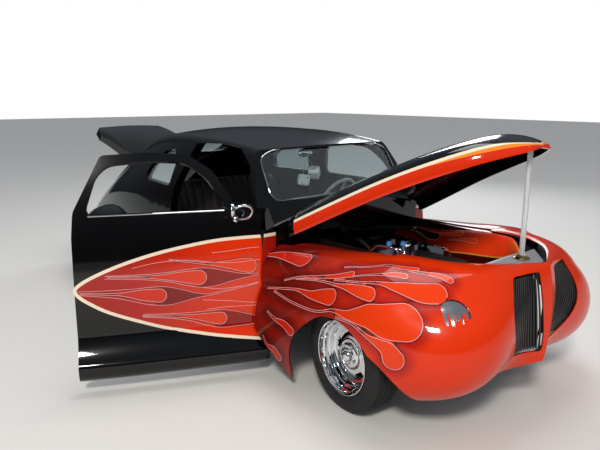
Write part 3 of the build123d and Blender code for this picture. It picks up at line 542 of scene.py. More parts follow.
def layered_paint(name, plain, base, layers, fade=None, behind="101012", **looks):
    """Paint in layers over a base colour. A layer (attribute, low, high, colour) covers what is
    below it where the attribute has gone from low to high. A colour is one sRGB code, or two
    between which it fades along the panel, over the range fade. The panel's hidden side has the
    colour behind, and plain is the one code for the whole panel where layers can't be drawn."""
    material = finish_of(name, plain, **looks)
    tree = material.node_tree
    keys = sorted({"along", "face"} | {layer[0] for layer in layers})
    fact = {key: add_node(tree, "Attribute", attribute_name=key).outputs["Fac"] for key in keys}

    def tinted(colour):
        return colour if isinstance(colour, str) else covered(tree, *colour, fact["along"], *fade)

    colour = tinted(base)
    for key, low, high, over in layers:
        colour = covered(tree, colour, tinted(over), fact[key], low, high)
    colour = covered(tree, behind, colour, fact["face"], 0.4, 0.6)
    tree.links.new(colour, tree.nodes["Principled BSDF"].inputs["Base Color"])
    return material


# %% [markdown]
# ## The front clip
#
# The clip is drawn as thirteen stations that run forward along the fender and then fan round its
# front to the prow. Each station is a plane turned about the vertical, with two arcs: side and
# shoulder, then crown and lip. One half is drawn and the other is its mirror image.

# %% Front clip surface
# Columns: origin x, origin y, turn, z bottom, r bottom, r side, z side, r shoulder, z shoulder,
# r crown, z crown, r lip, z lip, in millimetres and degrees
clip_rows = [
    (-671.7, 0, 0, 66, 800, 862, 270, 800, 560, 782, 700, 645, 790),
    (-516, 0, 0, 52, 812, 874, 287, 818, 602, 764, 739, 614, 802),
    (-340, 0, 0, 66, 820, 882, 330, 826, 640, 740, 775, 575, 815),
    (-143, 0, 0, 129, 823, 883, 408, 822, 671, 708, 805, 528, 830),
    (0, 0, 0, 190, 830, 888, 470, 826, 690, 690, 826, 495, 843),
    (27, 151, 13, 202, 695, 758, 468, 707, 696, 551, 837, 343, 849),
    (0, 300, 30, 190, 560, 652, 440, 600, 690, 430, 838, 199, 850),
    (-7, 327, 44, 187, 534, 684, 429, 603, 680, 431, 830, 166, 851),
    (0, 300, 58, 195, 556, 752, 430, 652, 690, 500, 826, 240, 853),
    (2, 303, 76, 211, 551, 741, 431, 666, 737, 561, 837, 383, 855),
    (0, 280, 90, 235, 556, 702, 450, 664, 790, 610, 850, 530, 855),
    (-1, 168, 93, 269, 620, 707, 504, 682, 818, 658, 851, 627, 852),
    (0, 0, 90, 309, 722, 745, 580, 715, 828, 706, 843, 690, 848),
]
side_points, crown_points = 30, 24
stations = []
for x0, y0, turn, z_bot, r_bot, r_side, z_side, r_sh, z_sh, r_crown, z_crown, r_lip, z_lip in clip_rows:
    lower = arc_points((r_bot, z_bot), (r_side, z_side), (r_sh, z_sh), side_points)
    upper = arc_points((r_sh, z_sh), (r_crown, z_crown), (r_lip, z_lip), crown_points)[1:]
    r, z = np.concatenate([lower, upper]).T
    t = math.radians(turn)
    stations.append(np.stack([x0 + r * math.sin(t), y0 + r * math.cos(t), z], 1) / 1000)
clip_grid = through_stations(stations, [14, 14, 16, 13, 16, 14, 14, 16, 18, 15, 16, 16])
clip_grid[..., 1] = np.maximum(clip_grid[..., 1], 0)
clip_grid[-1, :, 1] = 0
# The length along the clip is measured low on its side
measured = 12
along = np.linalg.norm(np.diff(clip_grid[:, measured], axis=0), axis=1)
across = row_distances(clip_grid)
clip = Panel(clip_grid, np.concatenate([[0], np.cumsum(along)]),
             across - across[:, side_points - 1:side_points], seen=(10, 10, 1))
print("clip grid", clip_grid.shape, "length", round(float(clip.a[-1]), 3))

# Openings: the wheel arch from the side, the grille from the front, the lamp in its own plane
arch = np.concatenate([
    arc_points((-345, 215), (-300, 360), (-190, 480), 12),
    arc_points((-190, 480), (40, 560), (250, 440), 24)[1:],
    arc_points((250, 440), (360, 350), (440, 200), 12)[1:],
    [(440, -50), (-760, -50), (-760, 300), (-662, 300), (-360, 66)]]) / 1000
# Rows: z, y of the outer edge, y of the edge by the prow, in millimetres
grille_rows = np.array([(812, 270, 76), (755, 302, 73), (695, 333, 69), (630, 351, 61), (560, 345, 50),
                        (490, 308, 36), (430, 264, 27), (368, 198, 20)]) / 1000
grille_outline = rounded(np.concatenate([grille_rows[:, [1, 0]], grille_rows[::-1][:, [2, 0]]]), 0.018)
lamp_centre = np.array([0.590, 0.622, 0.680])
lamp_turn = math.radians(24)
lamp_across = np.array([-math.sin(lamp_turn), math.cos(lamp_turn), 0.0])
# Fingers: p and q where each starts and ends, half width at the start
lamp_fingers = [
    (.056, .022, .068, -.034, .0095), (.034, .019, .041, -.038, .0095),
    (.007, .030, .014, -.017, .0080), (-.008, .026, -.001, -.030, .0075),
    (-.031, .034, -.030, -.005, .0070), (-.046, .022, -.040, -.014, .0070)]
# The lamp's outline counts ahead of one x, the grille's ahead of another
front_half, nose_only = 0.35, 0.5


def lamp_opening(p, q):
    """Distance to the lamp's outline: a dome above with six fingers that hang from it."""
    dome = (np.hypot((p - 0.010) / 0.064, (q - 0.008) / 0.056) - 1) * 0.056
    field = np.maximum(dome, 0.014 - q)
    for p0, q0, p1, q1, half in lamp_fingers:
        t = np.clip(((p - p0) * (p1 - p0) + (q - q0) * (q1 - q0)) / ((p1 - p0)**2 + (q1 - q0)**2), 0, 1)
        field = np.minimum(field, np.hypot(p - p0 - (p1 - p0) * t, q - q0 - (q1 - q0) * t) - half + 0.002 * t)
    return field


def clip_fields(points):
    """The distance fields that keep the painted skin: outside arch, grille and lamp."""
    x, y, z = points.T
    lamp = lamp_opening((points - lamp_centre) @ lamp_across, z - lamp_centre[2])
    grille = np.where(x > nose_only, outside(grille_outline, y, z), 1.0)
    return outside(arch, x, z), grille, np.where(x > front_half, lamp, 1.0)


# %% [markdown]
# ## Flames on the fenders
#
# A painter lays out flames with tape, sprays the ground, shades the edge of each lick with an
# airbrush and draws a fine line round it. An image could carry that, but a distance field keeps
# every edge sharp at any size, so the shader repeats the painter's own steps from it. Ground and
# licks also darken towards the fender's rear: partly the paint's own fade, partly painted shade
# from the open door and the body's tumblehome.

# %% Flames on the fenders
# Each lick: rows of (a, b, half width) on the clip's own grid, from its round head to its tail
fender_licks = [
    [(1.131, -.051, .091), (1.022, -.066, .082), (.935, -.065, .061), (.860, -.081, .040),
     (.780, -.096, .020), (.679, -.098, .008), (.540, -.120, .005), (.343, -.092, .005), (.152, -.035, .004)],
    [(1.320, .104, .056), (1.235, .106, .053), (1.140, .116, .039), (1.045, .117, .021),
     (.945, .112, .008), (.772, .077, .004), (.613, .060, .004)],
    [(.910, .042, .036), (.827, .040, .031), (.733, .038, .017), (.641, .036, .007), (.505, .046, .004),
     (.326, .042, .003)],
    [(.631, -.033, .045), (.558, -.034, .036), (.470, -.035, .020), (.360, -.018, .007), (.227, -.018, .005),
     (.076, -.017, .004)],
    [(.310, .167, .048), (.211, .182, .038), (.102, .197, .025), (.000, .197, .010)],
    [(.718, .113, .018), (.622, .084, .014), (.505, .068, .008), (.351, .053, .005), (.227, .030, .003)],
    [(1.140, .198, .018), (1.058, .193, .016), (.961, .170, .008), (.827, .133, .004), (.733, .101, .003)],
    [(1.076, -.236, .057), (1.049, -.200, .043), (1.004, -.181, .025), (.935, -.162, .010),
     (.836, -.129, .005), (.711, -.129, .004)],
    [(.227, -.436, .029), (.194, -.395, .022), (.127, -.366, .009), (.093, -.308, .004)],
    [(1.238, .262, .013), (1.104, .256, .012), (.944, .239, .007), (.780, .181, .004), (.631, .145, .003)],
    [(.360, -.258, .025), (.293, -.221, .019), (.211, -.199, .009), (.127, -.157, .004)],
    [(1.423, .166, .020), (1.371, .205, .018), (1.280, .230, .010), (1.158, .244, .004)],
]
# Ground, airbrush edge and licks are darker at the rear: partly the paint's fade, partly painted shade from
# the open door
fender_paint = layered_paint("flame_orange_paint", "DA3206", ("7A1006", "DA3206"), [
    ("lick", 0.075, 0.010, ("520A06", "B01C0A")), ("lick", 0.014, 0.000, "520A06"),
    ("lick", 0.001, -0.001, ("B81C0A", "E23A08"))],
    fade=(0.10, 1.10), behind="0A0A0C", rough=0.3, coat=0.5, Specular_IOR_Level=0.08)
line_width, skin_depth, line_margin = 0.0032, 0.010, 0.004
points, faces, values = clip.skin()
values["lick"] = lick_field(fender_licks, values["along"], values["across"])
for k in range(3):
    points, faces, values = trim(points, faces, clip_fields(points)[k], values)
both_sides("front_clip", shelled(points, faces, values, skin_depth), fender_paint, slot="body_orange",
           stands=("front_fender_{}",), shared=("nose_panel", "headlamp_covers"))
points, faces = merged([ribbon(clip, lick_edge(lick), line_width) for lick in fender_licks])
arch_field, _, lamp_field = clip_fields(points)
kept = (arch_field > line_margin) & (lamp_field > line_margin)
both_sides("fender_pinstripes", (points, faces[kept[faces].all(1)]), pinstripe_paint, slot="body_orange",
           sharp=None)

# %% [markdown]
# ## Hood, doors, cabin and tail
#
# The same stations idea gives the other large skins. The hood and the right door are drawn shut
# and then turned about their hinges to where they stand.

# %% The hood
# Columns: x, half width, z edge, side z, crown z, in millimetres
hood_rows = [(-632, 648, 801, 906, 1006), (-330, 590, 828, 935, 1040), (30, 500, 858, 965, 1052),
             (330, 404, 867, 975, 1044), (540, 288, 868, 950, 1006), (690, 110, 865, 890, 912)]
stations = []
for x, half, z_edge, z_side, z_crown in hood_rows:
    shoulder = (0.80 * half, z_side + 0.40 * (z_crown - z_side))
    lower = arc_points((half, z_edge), (0.965 * half, z_side - 0.2 * (z_side - z_edge)), shoulder, 26)
    crown = arc_points((-shoulder[0], shoulder[1]), (0, z_crown), shoulder, 61)[::-1][1:]
    other = lower[::-1][1:] * (-1, 1)
    y, z = np.concatenate([lower, crown, other]).T
    stations.append(np.stack([np.full(len(y), x), y, z], 1) / 1000)
hood_grid = through_stations(stations, [26, 28, 24, 20, 18])
# The front end is closed by shrinking its last outline towards the middle of its lower edge
shares, nose_bulge = (0.985, 0.93, 0.82, 0.64, 0.4, 0.15, 0.01), 0.014
last = hood_grid[-1]
heart = np.array([last[0, 0], 0.0, last[0, 2] + 0.012])
cap = [heart + (last - heart) * share + (nose_bulge * math.sqrt(1 - share**2), 0, 0) for share in shares]
hood_along = np.concatenate([hood_grid[:, 0, 0], last[0, 0] + np.arange(1, len(shares) + 1) * 0.002])
hood_grid = np.concatenate([hood_grid, cap])
hood_across = row_distances(hood_grid)
hood_pivot, hood_angle = np.array([-0.740, 0, 0.930]), 22.5
hood_grid = turned(hood_grid.reshape(-1, 3), hood_pivot, (0, -1, 0), hood_angle).reshape(hood_grid.shape)
hood = Panel(hood_grid, hood_along, hood_across, seen=(10, hood_grid.shape[1] // 2, 2))
# Heights over the hood's edge: the band up to the stripe, and the stripe's top. A lighter wedge,
# a painted highlight, fills the band from above as it nears the tip.
stripe_low, stripe_high, soft = 0.073, 0.093, 0.0006
hood_paint = layered_paint("hood_black_orange_paint", black, "D22C06", [
    ("wedge", -0.001, 0.001, "E8862A"), ("edge", stripe_low - soft, stripe_low + soft, "EAD9BE"),
    ("edge", stripe_high - soft, stripe_high + soft, black), ("along", -0.590, -0.592, black)], **black_gloss)
edge = np.minimum(hood_across, hood_across[:, -1:] - hood_across).ravel()
# Where the painted highlight starts over the hood's edge, along the hood
highlight_foot = np.interp(hood_along, (0.26, 0.70), (stripe_low, 0.55 * stripe_low))
hood_form = shelled(*hood.skin(edge=edge, wedge=edge - np.repeat(highlight_foot, hood_grid.shape[1])), 0.012)
add_mesh("hood_skin", hood_form, hood_paint, "hood", replaces=("hood",), slot="body_black")

# %% [markdown]
# ## The doors
#
# A door is a piece cut out of the cabin's side, so it has to carry on the same curve. The side is
# drawn as one surface from cowl to tail, and the door's outline and its window are then cut from it.

# %% Cabin stations
# Columns: x, z bottom, y sill, then y and z of flare, waist, ridge and drip, and z roof, in millimetres
body_rows = [
    (-672, 70, 815, 895, 190, 808, 330, 765, 920, 660, 1250, 1300),
    (-1150, 70, 820, 900, 190, 812, 330, 768, 920, 640, 1330, 1395),
    (-1760, 70, 815, 895, 190, 812, 330, 768, 920, 630, 1350, 1438),
    (-2400, 80, 770, 830, 200, 780, 340, 735, 900, 540, 1275, 1372),
    (-3120, 110, 660, 700, 230, 665, 350, 625, 800, 440, 1020, 1108),
    (-3620, 170, 560, 590, 280, 570, 380, 525, 620, 395, 765, 832),
    (-3960, 240, 470, 490, 320, 480, 380, 455, 450, 360, 500, 530),
]
corner_in, side_bulge, tumble_bulge = 78, 16, 14
stations = []
for x, z_bot, y_sill, *between, z_roof in body_rows:
    sill, (flare, waist, ridge, drip) = np.array([y_sill, z_bot]), np.reshape(between, (4, 2))
    edge = drip + (-corner_in, 0.66 * (z_roof - drip[1]))
    arcs = [
        (sill, (flare[0] + 2, (z_bot + flare[1]) / 2), flare, 12),
        (flare, flare + (waist - flare) * (0.65, 0.5), waist, 14),
        (waist, (waist + ridge) / 2 + (side_bulge, 0), ridge, 36),
        (ridge, (ridge + drip) / 2 + (tumble_bulge, 0), drip, 28),
        (drip, drip + (edge - drip) * (0.3, 0.66), edge, 10)]
    y, z = np.concatenate([arc_points(*arc)[:-1] for arc in arcs] + [[edge]]).T
    stations.append(np.stack([np.full(len(y), x), y, z], 1) / 1000)
body_grid = through_stations(stations, [36, 44, 40, 34, 24, 16])
door_outline = rounded(np.array([
    (-688, 50), (-688, 985), (-800, 1010), (-842, 1060), (-962, 1248), (-1098, 1340), (-1320, 1358),
    (-1590, 1346), (-1752, 1040), (-1765, 900), (-1765, 50)]) / 1000, 0.022)
door_window = rounded(np.array([
    (-884, 1026), (-1006, 1212), (-1120, 1296), (-1330, 1308), (-1552, 1290), (-1620, 1230), (-1690, 1026)])
    / 1000, 0.05)
# The grid's first rows span the door
door_grid = body_grid[:84]
door = Panel(door_grid, -door_grid[:, 0, 0], door_grid[..., 2], seen=(10, 40, 1))
door_pivot, door_angle = np.array([-0.700, -0.790, 0]), 63.4
print("door grid", door_grid.shape, "from", round(float(door.a[0]), 3), "to", round(float(door.a[-1]), 3))

# %% [markdown]
# ## Flames on the doors
#
# Each door carries a pointed panel of orange ground with a pale border, and two kinds of lick that
# run both ways inside it. They use the fender's method with one field for each kind, and the border
# is a ribbon of its own, laid just over the skin.

# %% Flames on the doors
# Spines in (distance behind the front axle, height), with the lick's half width
bright_licks = [
    [(1.302, .543, .040), (1.353, .549, .036), (1.414, .556, .029), (1.475, .564, .016), (1.536, .570, .007),
     (1.628, .578, .004), (1.740, .588, .003)],
    [(1.070, .633, .043), (1.134, .640, .036), (1.211, .647, .025), (1.292, .652, .013), (1.404, .661, .005),
     (1.587, .673, .003)],
    [(.770, .684, .044), (.823, .691, .037), (.895, .699, .023), (.975, .707, .011), (1.078, .722, .005),
     (1.241, .750, .003)],
    [(.951, .370, .039), (1.015, .380, .030), (1.086, .392, .018), (1.191, .407, .008), (1.404, .429, .003)],
]
dark_licks = [
    [(1.292, .540, .056), (1.231, .534, .051), (1.160, .530, .034), (1.086, .526, .014), (1.007, .526, .005),
     (.863, .548, .004), (.720, .574, .003)],
    [(1.054, .631, .058), (.983, .626, .053), (.887, .625, .030), (.799, .624, .012), (.712, .629, .005)],
    [(.943, .368, .055), (.871, .360, .048), (.784, .348, .034), (.715, .340, .020)],
]
# The same licks carried on rearwards, either side of the bright lick that starts in them
dark_tails = [
    [(1.755, .592, .010), (1.640, .581, .016), (1.540, .571, .024), (1.450, .558, .036), (1.370, .547, .050)],
    [(1.600, .672, .008), (1.400, .660, .014), (1.250, .650, .027), (1.150, .640, .046)],
    [(1.400, .430, .008), (1.250, .414, .014), (1.130, .398, .026), (1.030, .380, .046)],
]
thin_lines = [
    [(.715, .452), (.768, .455), (.863, .471), (.983, .487), (1.054, .495)],
    [(.715, .434), (.760, .435), (.847, .437), (.927, .439), (1.030, .435)],
    [(.710, .577), (.752, .568), (.863, .558), (.959, .556), (1.046, .570)],
    [(.705, .792), (.790, .788), (.880, .780), (.990, .774)],
    [(.705, .716), (.860, .708), (1.010, .722), (1.130, .740), (1.300, .738), (1.450, .715)],
]
border = np.array([
    (.694, .855), (.815, .853), (.967, .845), (1.118, .825), (1.292, .794), (1.455, .753), (1.577, .713),
    (1.679, .671), (1.740, .636), (1.763, .608), (1.747, .574), (1.689, .527), (1.587, .466), (1.424, .398),
    (1.252, .337), (1.023, .283), (.871, .256), (.768, .241), (.694, .231)])
border_curve = smooth_path(border, 12)
flame_field = np.concatenate([border_curve, [(.5, .231), (.5, .855)]])
door_paint = layered_paint("door_flame_paint", black, ("A0140A", "DC3208"), [
    ("dark", 0.010, 0.0, ("7C0F0A", "AE1A0C")), ("dark", 0.001, -0.001, ("5E0B08", "8E120A")),
    ("lick", 0.010, 0.001, "4A0907"), ("lick", 0.001, -0.001, ("BE1E0C", "E23A08")),
    ("panel", -0.001, 0.001, black)], fade=(1.65, 0.75), **black_gloss)
points, faces, values = door.skin()
along, height = values["along"], values["across"]
values.update(lick=lick_field(bright_licks, along, height), dark=lick_field(dark_licks, along, height),
              panel=outside(flame_field, along, height))
for outline, sign in ((door_outline, -1), (door_window, 1)):
    points, faces, values = trim(points, faces, sign * outside(outline, points[:, 0], points[:, 2]), values)
door_skin = shelled(points, faces, values, 0.030)
door_lines = [ribbon(door, lick_edge(lick), line_width) for lick in bright_licks]
for tail, lick in zip(dark_tails, dark_licks):
    spine = smooth_path(tail + lick, 12)
    offset = beside(spine)[1] * spine[:, 2:3]
    door_lines += [ribbon(door, spine[:, :2] + sign * offset, 0.0028) for sign in (1, -1)]
door_lines += [ribbon(door, smooth_path(line, 12), 0.003) for line in thin_lines]
points, faces = merged(door_lines)
door_front = -0.690
inside = points[:, 0] < door_front


def hung(form, side):
    """A form of the left door where it belongs: shut on the left, or open on the right."""
    points, faces, *attributes = on_side(form, side)
    return form if side > 0 else (turned(points, door_pivot, (0, 0, 1), door_angle), faces, *attributes)


on_door = {"place": hung, "body": "door_{}"}
both_sides("door_skin", door_skin, door_paint, stands=("door_{}",), slot="body_black", **on_door)
both_sides("door_pinstripes", (points, faces[inside[faces].all(1)]), pinstripe_paint, slot="body_black",
           sharp=None, **on_door)
both_sides("door_border", ribbon(door, border_curve, 0.019, 0.0008), cream_paint, slot="body_black",
           sharp=None, **on_door)

# %% [markdown]
# ## Wheels and tyres
#
# A profile in radius and width, turned about the axle, gives rim and tyre. The tread is part of
# the same grid: its radius drops inside the grooves. The slotted disc is a grid of rings whose
# slots are trimmed like the doors' windows.

# %% Turned forms


def revolved(profile, steps, closed=False):
    """A profile of (radius, width) turned about Y: x = r sin t, z = r cos t."""
    t = np.linspace(0, 2 * math.pi, steps, endpoint=False)[:, None]
    r, w = np.asarray(profile, float).T
    points = np.stack([np.sin(t) * r, np.broadcast_to(w, (steps, len(r))), np.cos(t) * r], 2)
    return points.reshape(-1, 3), grid_triangles(steps, len(r), wrap_rows=True, wrap_columns=closed)


def tube(path, radius, steps=12):
    """A round tube along a path, its ends closed; the frame is carried along without twist."""
    path = np.asarray(path, float)
    way = np.gradient(path, axis=0)
    way /= np.linalg.norm(way, axis=1, keepdims=True)
    side = np.cross(way[0], [0, 0, 1] if abs(way[0][2]) < 0.9 else [1, 0, 0])
    sides = []
    for w in way:
        side = side - w * (side @ w)
        side = side / np.linalg.norm(side)
        sides.append(side)
    sides = np.array(sides)
    up = np.cross(way, sides)
    t = np.linspace(0, 2 * math.pi, steps, endpoint=False)[None, :, None]
    radius = np.broadcast_to(np.asarray(radius, float), len(path))[:, None, None]
    ring = path[:, None] + radius * (np.cos(t) * sides[:, None] + np.sin(t) * up[:, None])
    points = np.concatenate([ring.reshape(-1, 3), path[:1], path[-1:]])
    last, j = (len(path) - 1) * steps, np.arange(steps)
    first_tip, last_tip = np.full(steps, last + steps), np.full(steps, last + steps + 1)
    return points, np.concatenate([grid_triangles(len(path), steps, wrap_columns=True)[:, ::-1],
                                   np.stack([first_tip, (j + 1) % steps, j], 1),
                                   np.stack([last_tip, last + j, last + (j + 1) % steps], 1)])


# %% [markdown]
# ## Tyre and wheel
#
# A chromed steel wheel is spun from sheet and its slotted centre is pressed and welded in. Turned
# profiles follow that work, so the rolled lip and the dish reflect as they should. The slots are
# cut from the disc by a distance field, and the nuts are the same small turned form five times.

# %% Tyre and wheel
tread_radius, groove_radius, half_groove = 0.3030, 0.2965, 0.003
side_wall = arc_points((0.208, 0.078), (0.252, 0.0955), (0.288, 0.082), 14)
tread = [(0.297, 0.077), (0.3015, 0.071)]
for w in (0.055, 0.035, 0.012):
    tread += [(tread_radius, w + half_groove + 0.0005), (groove_radius, w + half_groove - 0.0005),
              (groove_radius, w - half_groove + 0.0005), (tread_radius, w - half_groove - 0.0005)]
half = np.concatenate([side_wall, tread])
bead = [(0.204, -0.070), (0.204, 0.070)]
points, faces = revolved(np.concatenate([half, (half * (1, -1))[::-1], bead]), 192, closed=True)
radius, width = np.hypot(points[:, 0], points[:, 2]), np.abs(points[:, 1])
angle = np.arctan2(points[:, 0], points[:, 2])
# Fine slanted cuts across the tread, and a raised ring on each side wall
cuts_round, slant, cut_depth, ring_radius, ring_height = 64, 22, 0.0032, 0.268, 0.0012
wave = np.sin(angle * cuts_round + np.sign(points[:, 1]) * width * slant)
cut = (radius > 0.299) & (width > 0.014) & (wave > 0.55)
scale = np.where(cut, (radius - cut_depth) / radius, 1)
ring = ring_height * ((np.abs(radius - ring_radius) < 0.0035) & (width > 0.08))
tyre = outward(points * np.stack([scale, 1 + ring / np.maximum(width, 0.01), scale], 1), faces)

rim_profile = [
    (0.2040, -0.080), (0.2075, -0.084), (0.2075, -0.078), (0.2050, -0.070), (0.2050, 0.070), (0.2078, 0.078),
    (0.2085, 0.083), (0.2072, 0.0875), (0.2040, 0.0885), (0.2005, 0.0865), (0.1985, 0.080), (0.1965, 0.070),
    (0.1950, 0.062), (0.1905, 0.059), (0.1870, 0.056), (0.1850, 0.046), (0.1835, 0.034), (0.1790, 0.031),
    (0.1755, 0.028), (0.1735, 0.018), (0.1720, 0.006), (0.1690, 0.001), (0.1650, -0.002), (0.1600, -0.004),
    (0.1600, -0.012), (0.1680, -0.012), (0.1780, -0.030), (0.1850, -0.060), (0.1950, -0.076)]
rim = outward(*revolved(rim_profile, 128, closed=True))
disc_profile = np.array([
    (0.074, 0.026), (0.078, 0.018), (0.082, 0.013), (0.090, 0.012), (0.098, 0.0125), (0.106, 0.013),
    (0.114, 0.0125), (0.122, 0.011), (0.130, 0.008), (0.137, 0.004), (0.144, 0.000), (0.152, -0.003),
    (0.161, -0.004)])
rings = np.linspace(0.075, 0.161, 44)
points, faces = revolved(np.stack([rings, np.interp(rings, *disc_profile.T)], 1), 200)
angle, r = np.arctan2(points[:, 0], points[:, 2]), np.hypot(points[:, 0], points[:, 2])
# Five slots: each the distance to a short bent line less half the slot's height
slots, slot_radius, half_length, half_height, bolt_radius = 5, 0.121, 0.017, 0.0155, 0.0555
field = np.full(len(angle), 1.0)
for k in range(slots):
    turn = (angle - k * 2 * math.pi / slots + math.pi) % (2 * math.pi) - math.pi
    across, out = r * np.sin(turn), r * np.cos(turn) - slot_radius
    out = out + across**2 / 0.24
    gap = np.hypot(across - np.clip(across, -half_length, half_length), out) - half_height
    field = np.minimum(field, np.where(np.abs(turn) < 0.7, gap, 1.0))
points, faces, _ = trim(points, faces, field, {})
if normals_of(points, faces)[:, 1].mean() < 0:
    faces = faces[:, ::-1]
disc = shelled(points, faces, {}, 0.006)[:2]
hub_profile = [
    (0.0, 0.064), (0.012, 0.0632), (0.022, 0.0605), (0.029, 0.056), (0.033, 0.050), (0.0345, 0.044),
    (0.036, 0.0345), (0.040, 0.0335), (0.047, 0.0335), (0.0655, 0.0325), (0.0715, 0.0300),
    (0.0755, 0.0250), (0.0765, 0.0160), (0.0765, -0.010), (0.0, -0.010)]
nut_profile = [(0.0, 0.050), (0.005, 0.0495), (0.0088, 0.047), (0.0098, 0.043), (0.0098, 0.0335),
               (0.0118, 0.0325), (0.0118, 0.030), (0.0, 0.030)]
nut_points, nut_faces = outward(*revolved(nut_profile, 6))
nuts = [(nut_points + bolt_radius * np.array([math.sin(t), 0, math.cos(t)]), nut_faces)
        for t in (np.arange(slots) + 0.5) * 2 * math.pi / slots]
valve = outward(*tube([(0.0, -0.004, 0.150), (0.0, 0.014, 0.155), (0.0, 0.030, 0.161)], 0.0035, 8))
wheel = merged([rim, disc, outward(*revolved(hub_profile, 96)), *nuts, valve])
brake = outward(*revolved([(0.0, -0.030), (0.135, -0.030), (0.135, -0.052), (0.0, -0.052)], 72))

# The front wheels stand turned by steer degrees about upright lines steering_pivot from the middle
steer, wheelbase, half_track, wheel_height, steering_pivot = -8.7, 2.85, 0.692, 0.304, 0.600
for end, x in (("front", 0.0), ("rear", -wheelbase)):
    for side, label in ((1, "left"), (-1, "right")):
        for name, (p, f), finish, nodes_replaced, slot in (
                ("tyre_treaded", tyre, rubber, (f"tyre_{end}_{label}",), "tyre"),
                ("wheel_chromed", wheel, chrome, (f"wheel_{end}_{label}",), "chrome"),
                ("brake_disc", brake, iron, (), "iron")):
            p, f = on_side((p + np.array([0, half_track, 0]), f), side)
            if end == "front":
                p = turned(p, np.array([0, side * steering_pivot, 0]), (0, 0, 1), steer)
            add_mesh(f"{name}_{end}_{label}", (p + np.array([x, 0, wheel_height]), f), finish,
                     f"{end}_wheel_{label}", replaces=nodes_replaced, slot=slot, sharp=30)

# %% [markdown]
# ## Grille, lamps and the open engine bay
#
# Grille bars and lamp lenses follow the clip's own surface, set a little way behind it. The inner
# panels of the bay are swept between a lower and an upper edge, bulging between them.

# %% Grille bars and lamp lenses


def skin_at(y, z):
    """The clip's points and normals over (y, z) at its front: the nearest knot and one linear step."""
    ahead = clip_grid[..., 0] > nose_only
    out, out_normal = [], []
    for q in zip(y, z):
        gap = np.where(ahead, np.hypot(clip_grid[..., 1] - q[0], clip_grid[..., 2] - q[1]), 9)
        i, j = np.unravel_index(gap.argmin(), gap.shape)
        i0, i1 = max(i - 1, 0), min(i + 1, len(clip_grid) - 1)
        j0, j1 = max(j - 1, 0), min(j + 1, clip_grid.shape[1] - 1)
        way = np.stack([clip_grid[i1, j] - clip_grid[i0, j], clip_grid[i, j1] - clip_grid[i, j0]])
        step = np.linalg.lstsq(way[:, 1:].T, np.array(q) - clip_grid[i, j, 1:], rcond=None)[0]
        out.append(clip_grid[i, j] + np.clip(step, -0.6, 0.6) @ way)
        out_normal.append(clip.normals[i, j])
    return np.array(out), np.array(out_normal)


levels = np.linspace(0.371, 0.809, 30)
outer_y, prow_y = (np.interp(levels, grille_rows[::-1, 0], grille_rows[::-1, k]) for k in (1, 2))


def nose_line(share):
    """The skin's points and normals on an upright line, at a share of the way from prow to outer edge."""
    return skin_at(prow_y + (outer_y - prow_y) * share, levels)


bar_count, bar_depth, shade_sheet_depth = 13, 0.016, 0.055
bars = []
for k in range(bar_count):
    spots, ways = nose_line((k + 0.5) / bar_count)
    smooth = [np.convolve(np.pad(c, 2, "edge"), np.ones(5) / 5, "valid")
              for c in (spots - ways * bar_depth).T]
    bars.append(outward(*tube(np.stack(smooth, 1), 0.0052, 8)))
# A black sheet behind the bars: painted shade that stands for the dark space behind the grille
sheet = np.array([nose_line(share)[0] - (shade_sheet_depth, 0, 0) for share in np.linspace(-0.08, 1.08, 9)])
shade_sheet = outward(*shelled(sheet.reshape(-1, 3), grid_triangles(*sheet.shape[:2]), {}, 0.004)[:2])
grille_black = finish_of("grille_bar_black", "111113", rough=0.42, coat=0.25)
both_sides("grille_bars", merged(bars), grille_black, slot="frame_black", shared=("grille",))
both_sides("grille_screen", shade_sheet, bay_black, slot="frame_black")

points, faces, _ = clip.skin()
p, q = (points - lamp_centre) @ lamp_across, points[:, 2] - lamp_centre[2]
inside = np.where(points[:, 0] > front_half, 1 - np.hypot((p - 0.010) / 0.086, (q - 0.004) / 0.078), -1.0)
depth = 0.0115 - 0.012 * np.clip(inside - 0.3, 0, 1)
dome = trim(points - clip.normals.reshape(-1, 3) * depth[:, None], faces, inside * 0.08, {})
both_sides("lamp_lens", shelled(*dome, 0.003)[:2], lamp_silver, slot="lens", shared=("headlamps",))

# %% [markdown]
# ## Inner panels of the bay
#
# A sheet metal panel fills the gap between fender and engine, bulging up and painted like the
# outside, with painted shade towards the firewall and a painted highlight at its front end. Across,
# it is the curve (1 - t)^2 low + 2 t (1 - t) top + t^2 high between its two edges, and a spline
# carries that curve along the bay.

# %% Inner panels of the bay
# Rows: the lower edge (x, y, z), then the upper edge (x, y, z), from the firewall to the round front
bay_rows = [
    ((-.600, .300, .660), (-.600, .618, .788)),
    ((-.449, .300, .679), (-.420, .583, .799)),
    ((-.288, .300, .664), (-.290, .555, .811)),
    ((-.096, .310, .687), (-.120, .515, .824)),
    ((.111, .330, .702), (.050, .478, .837)),
    ((.240, .332, .715), (.190, .418, .841)),
    ((.330, .315, .738), (.300, .390, .832)),
    ((.386, .285, .762), (.378, .320, .785)),
]
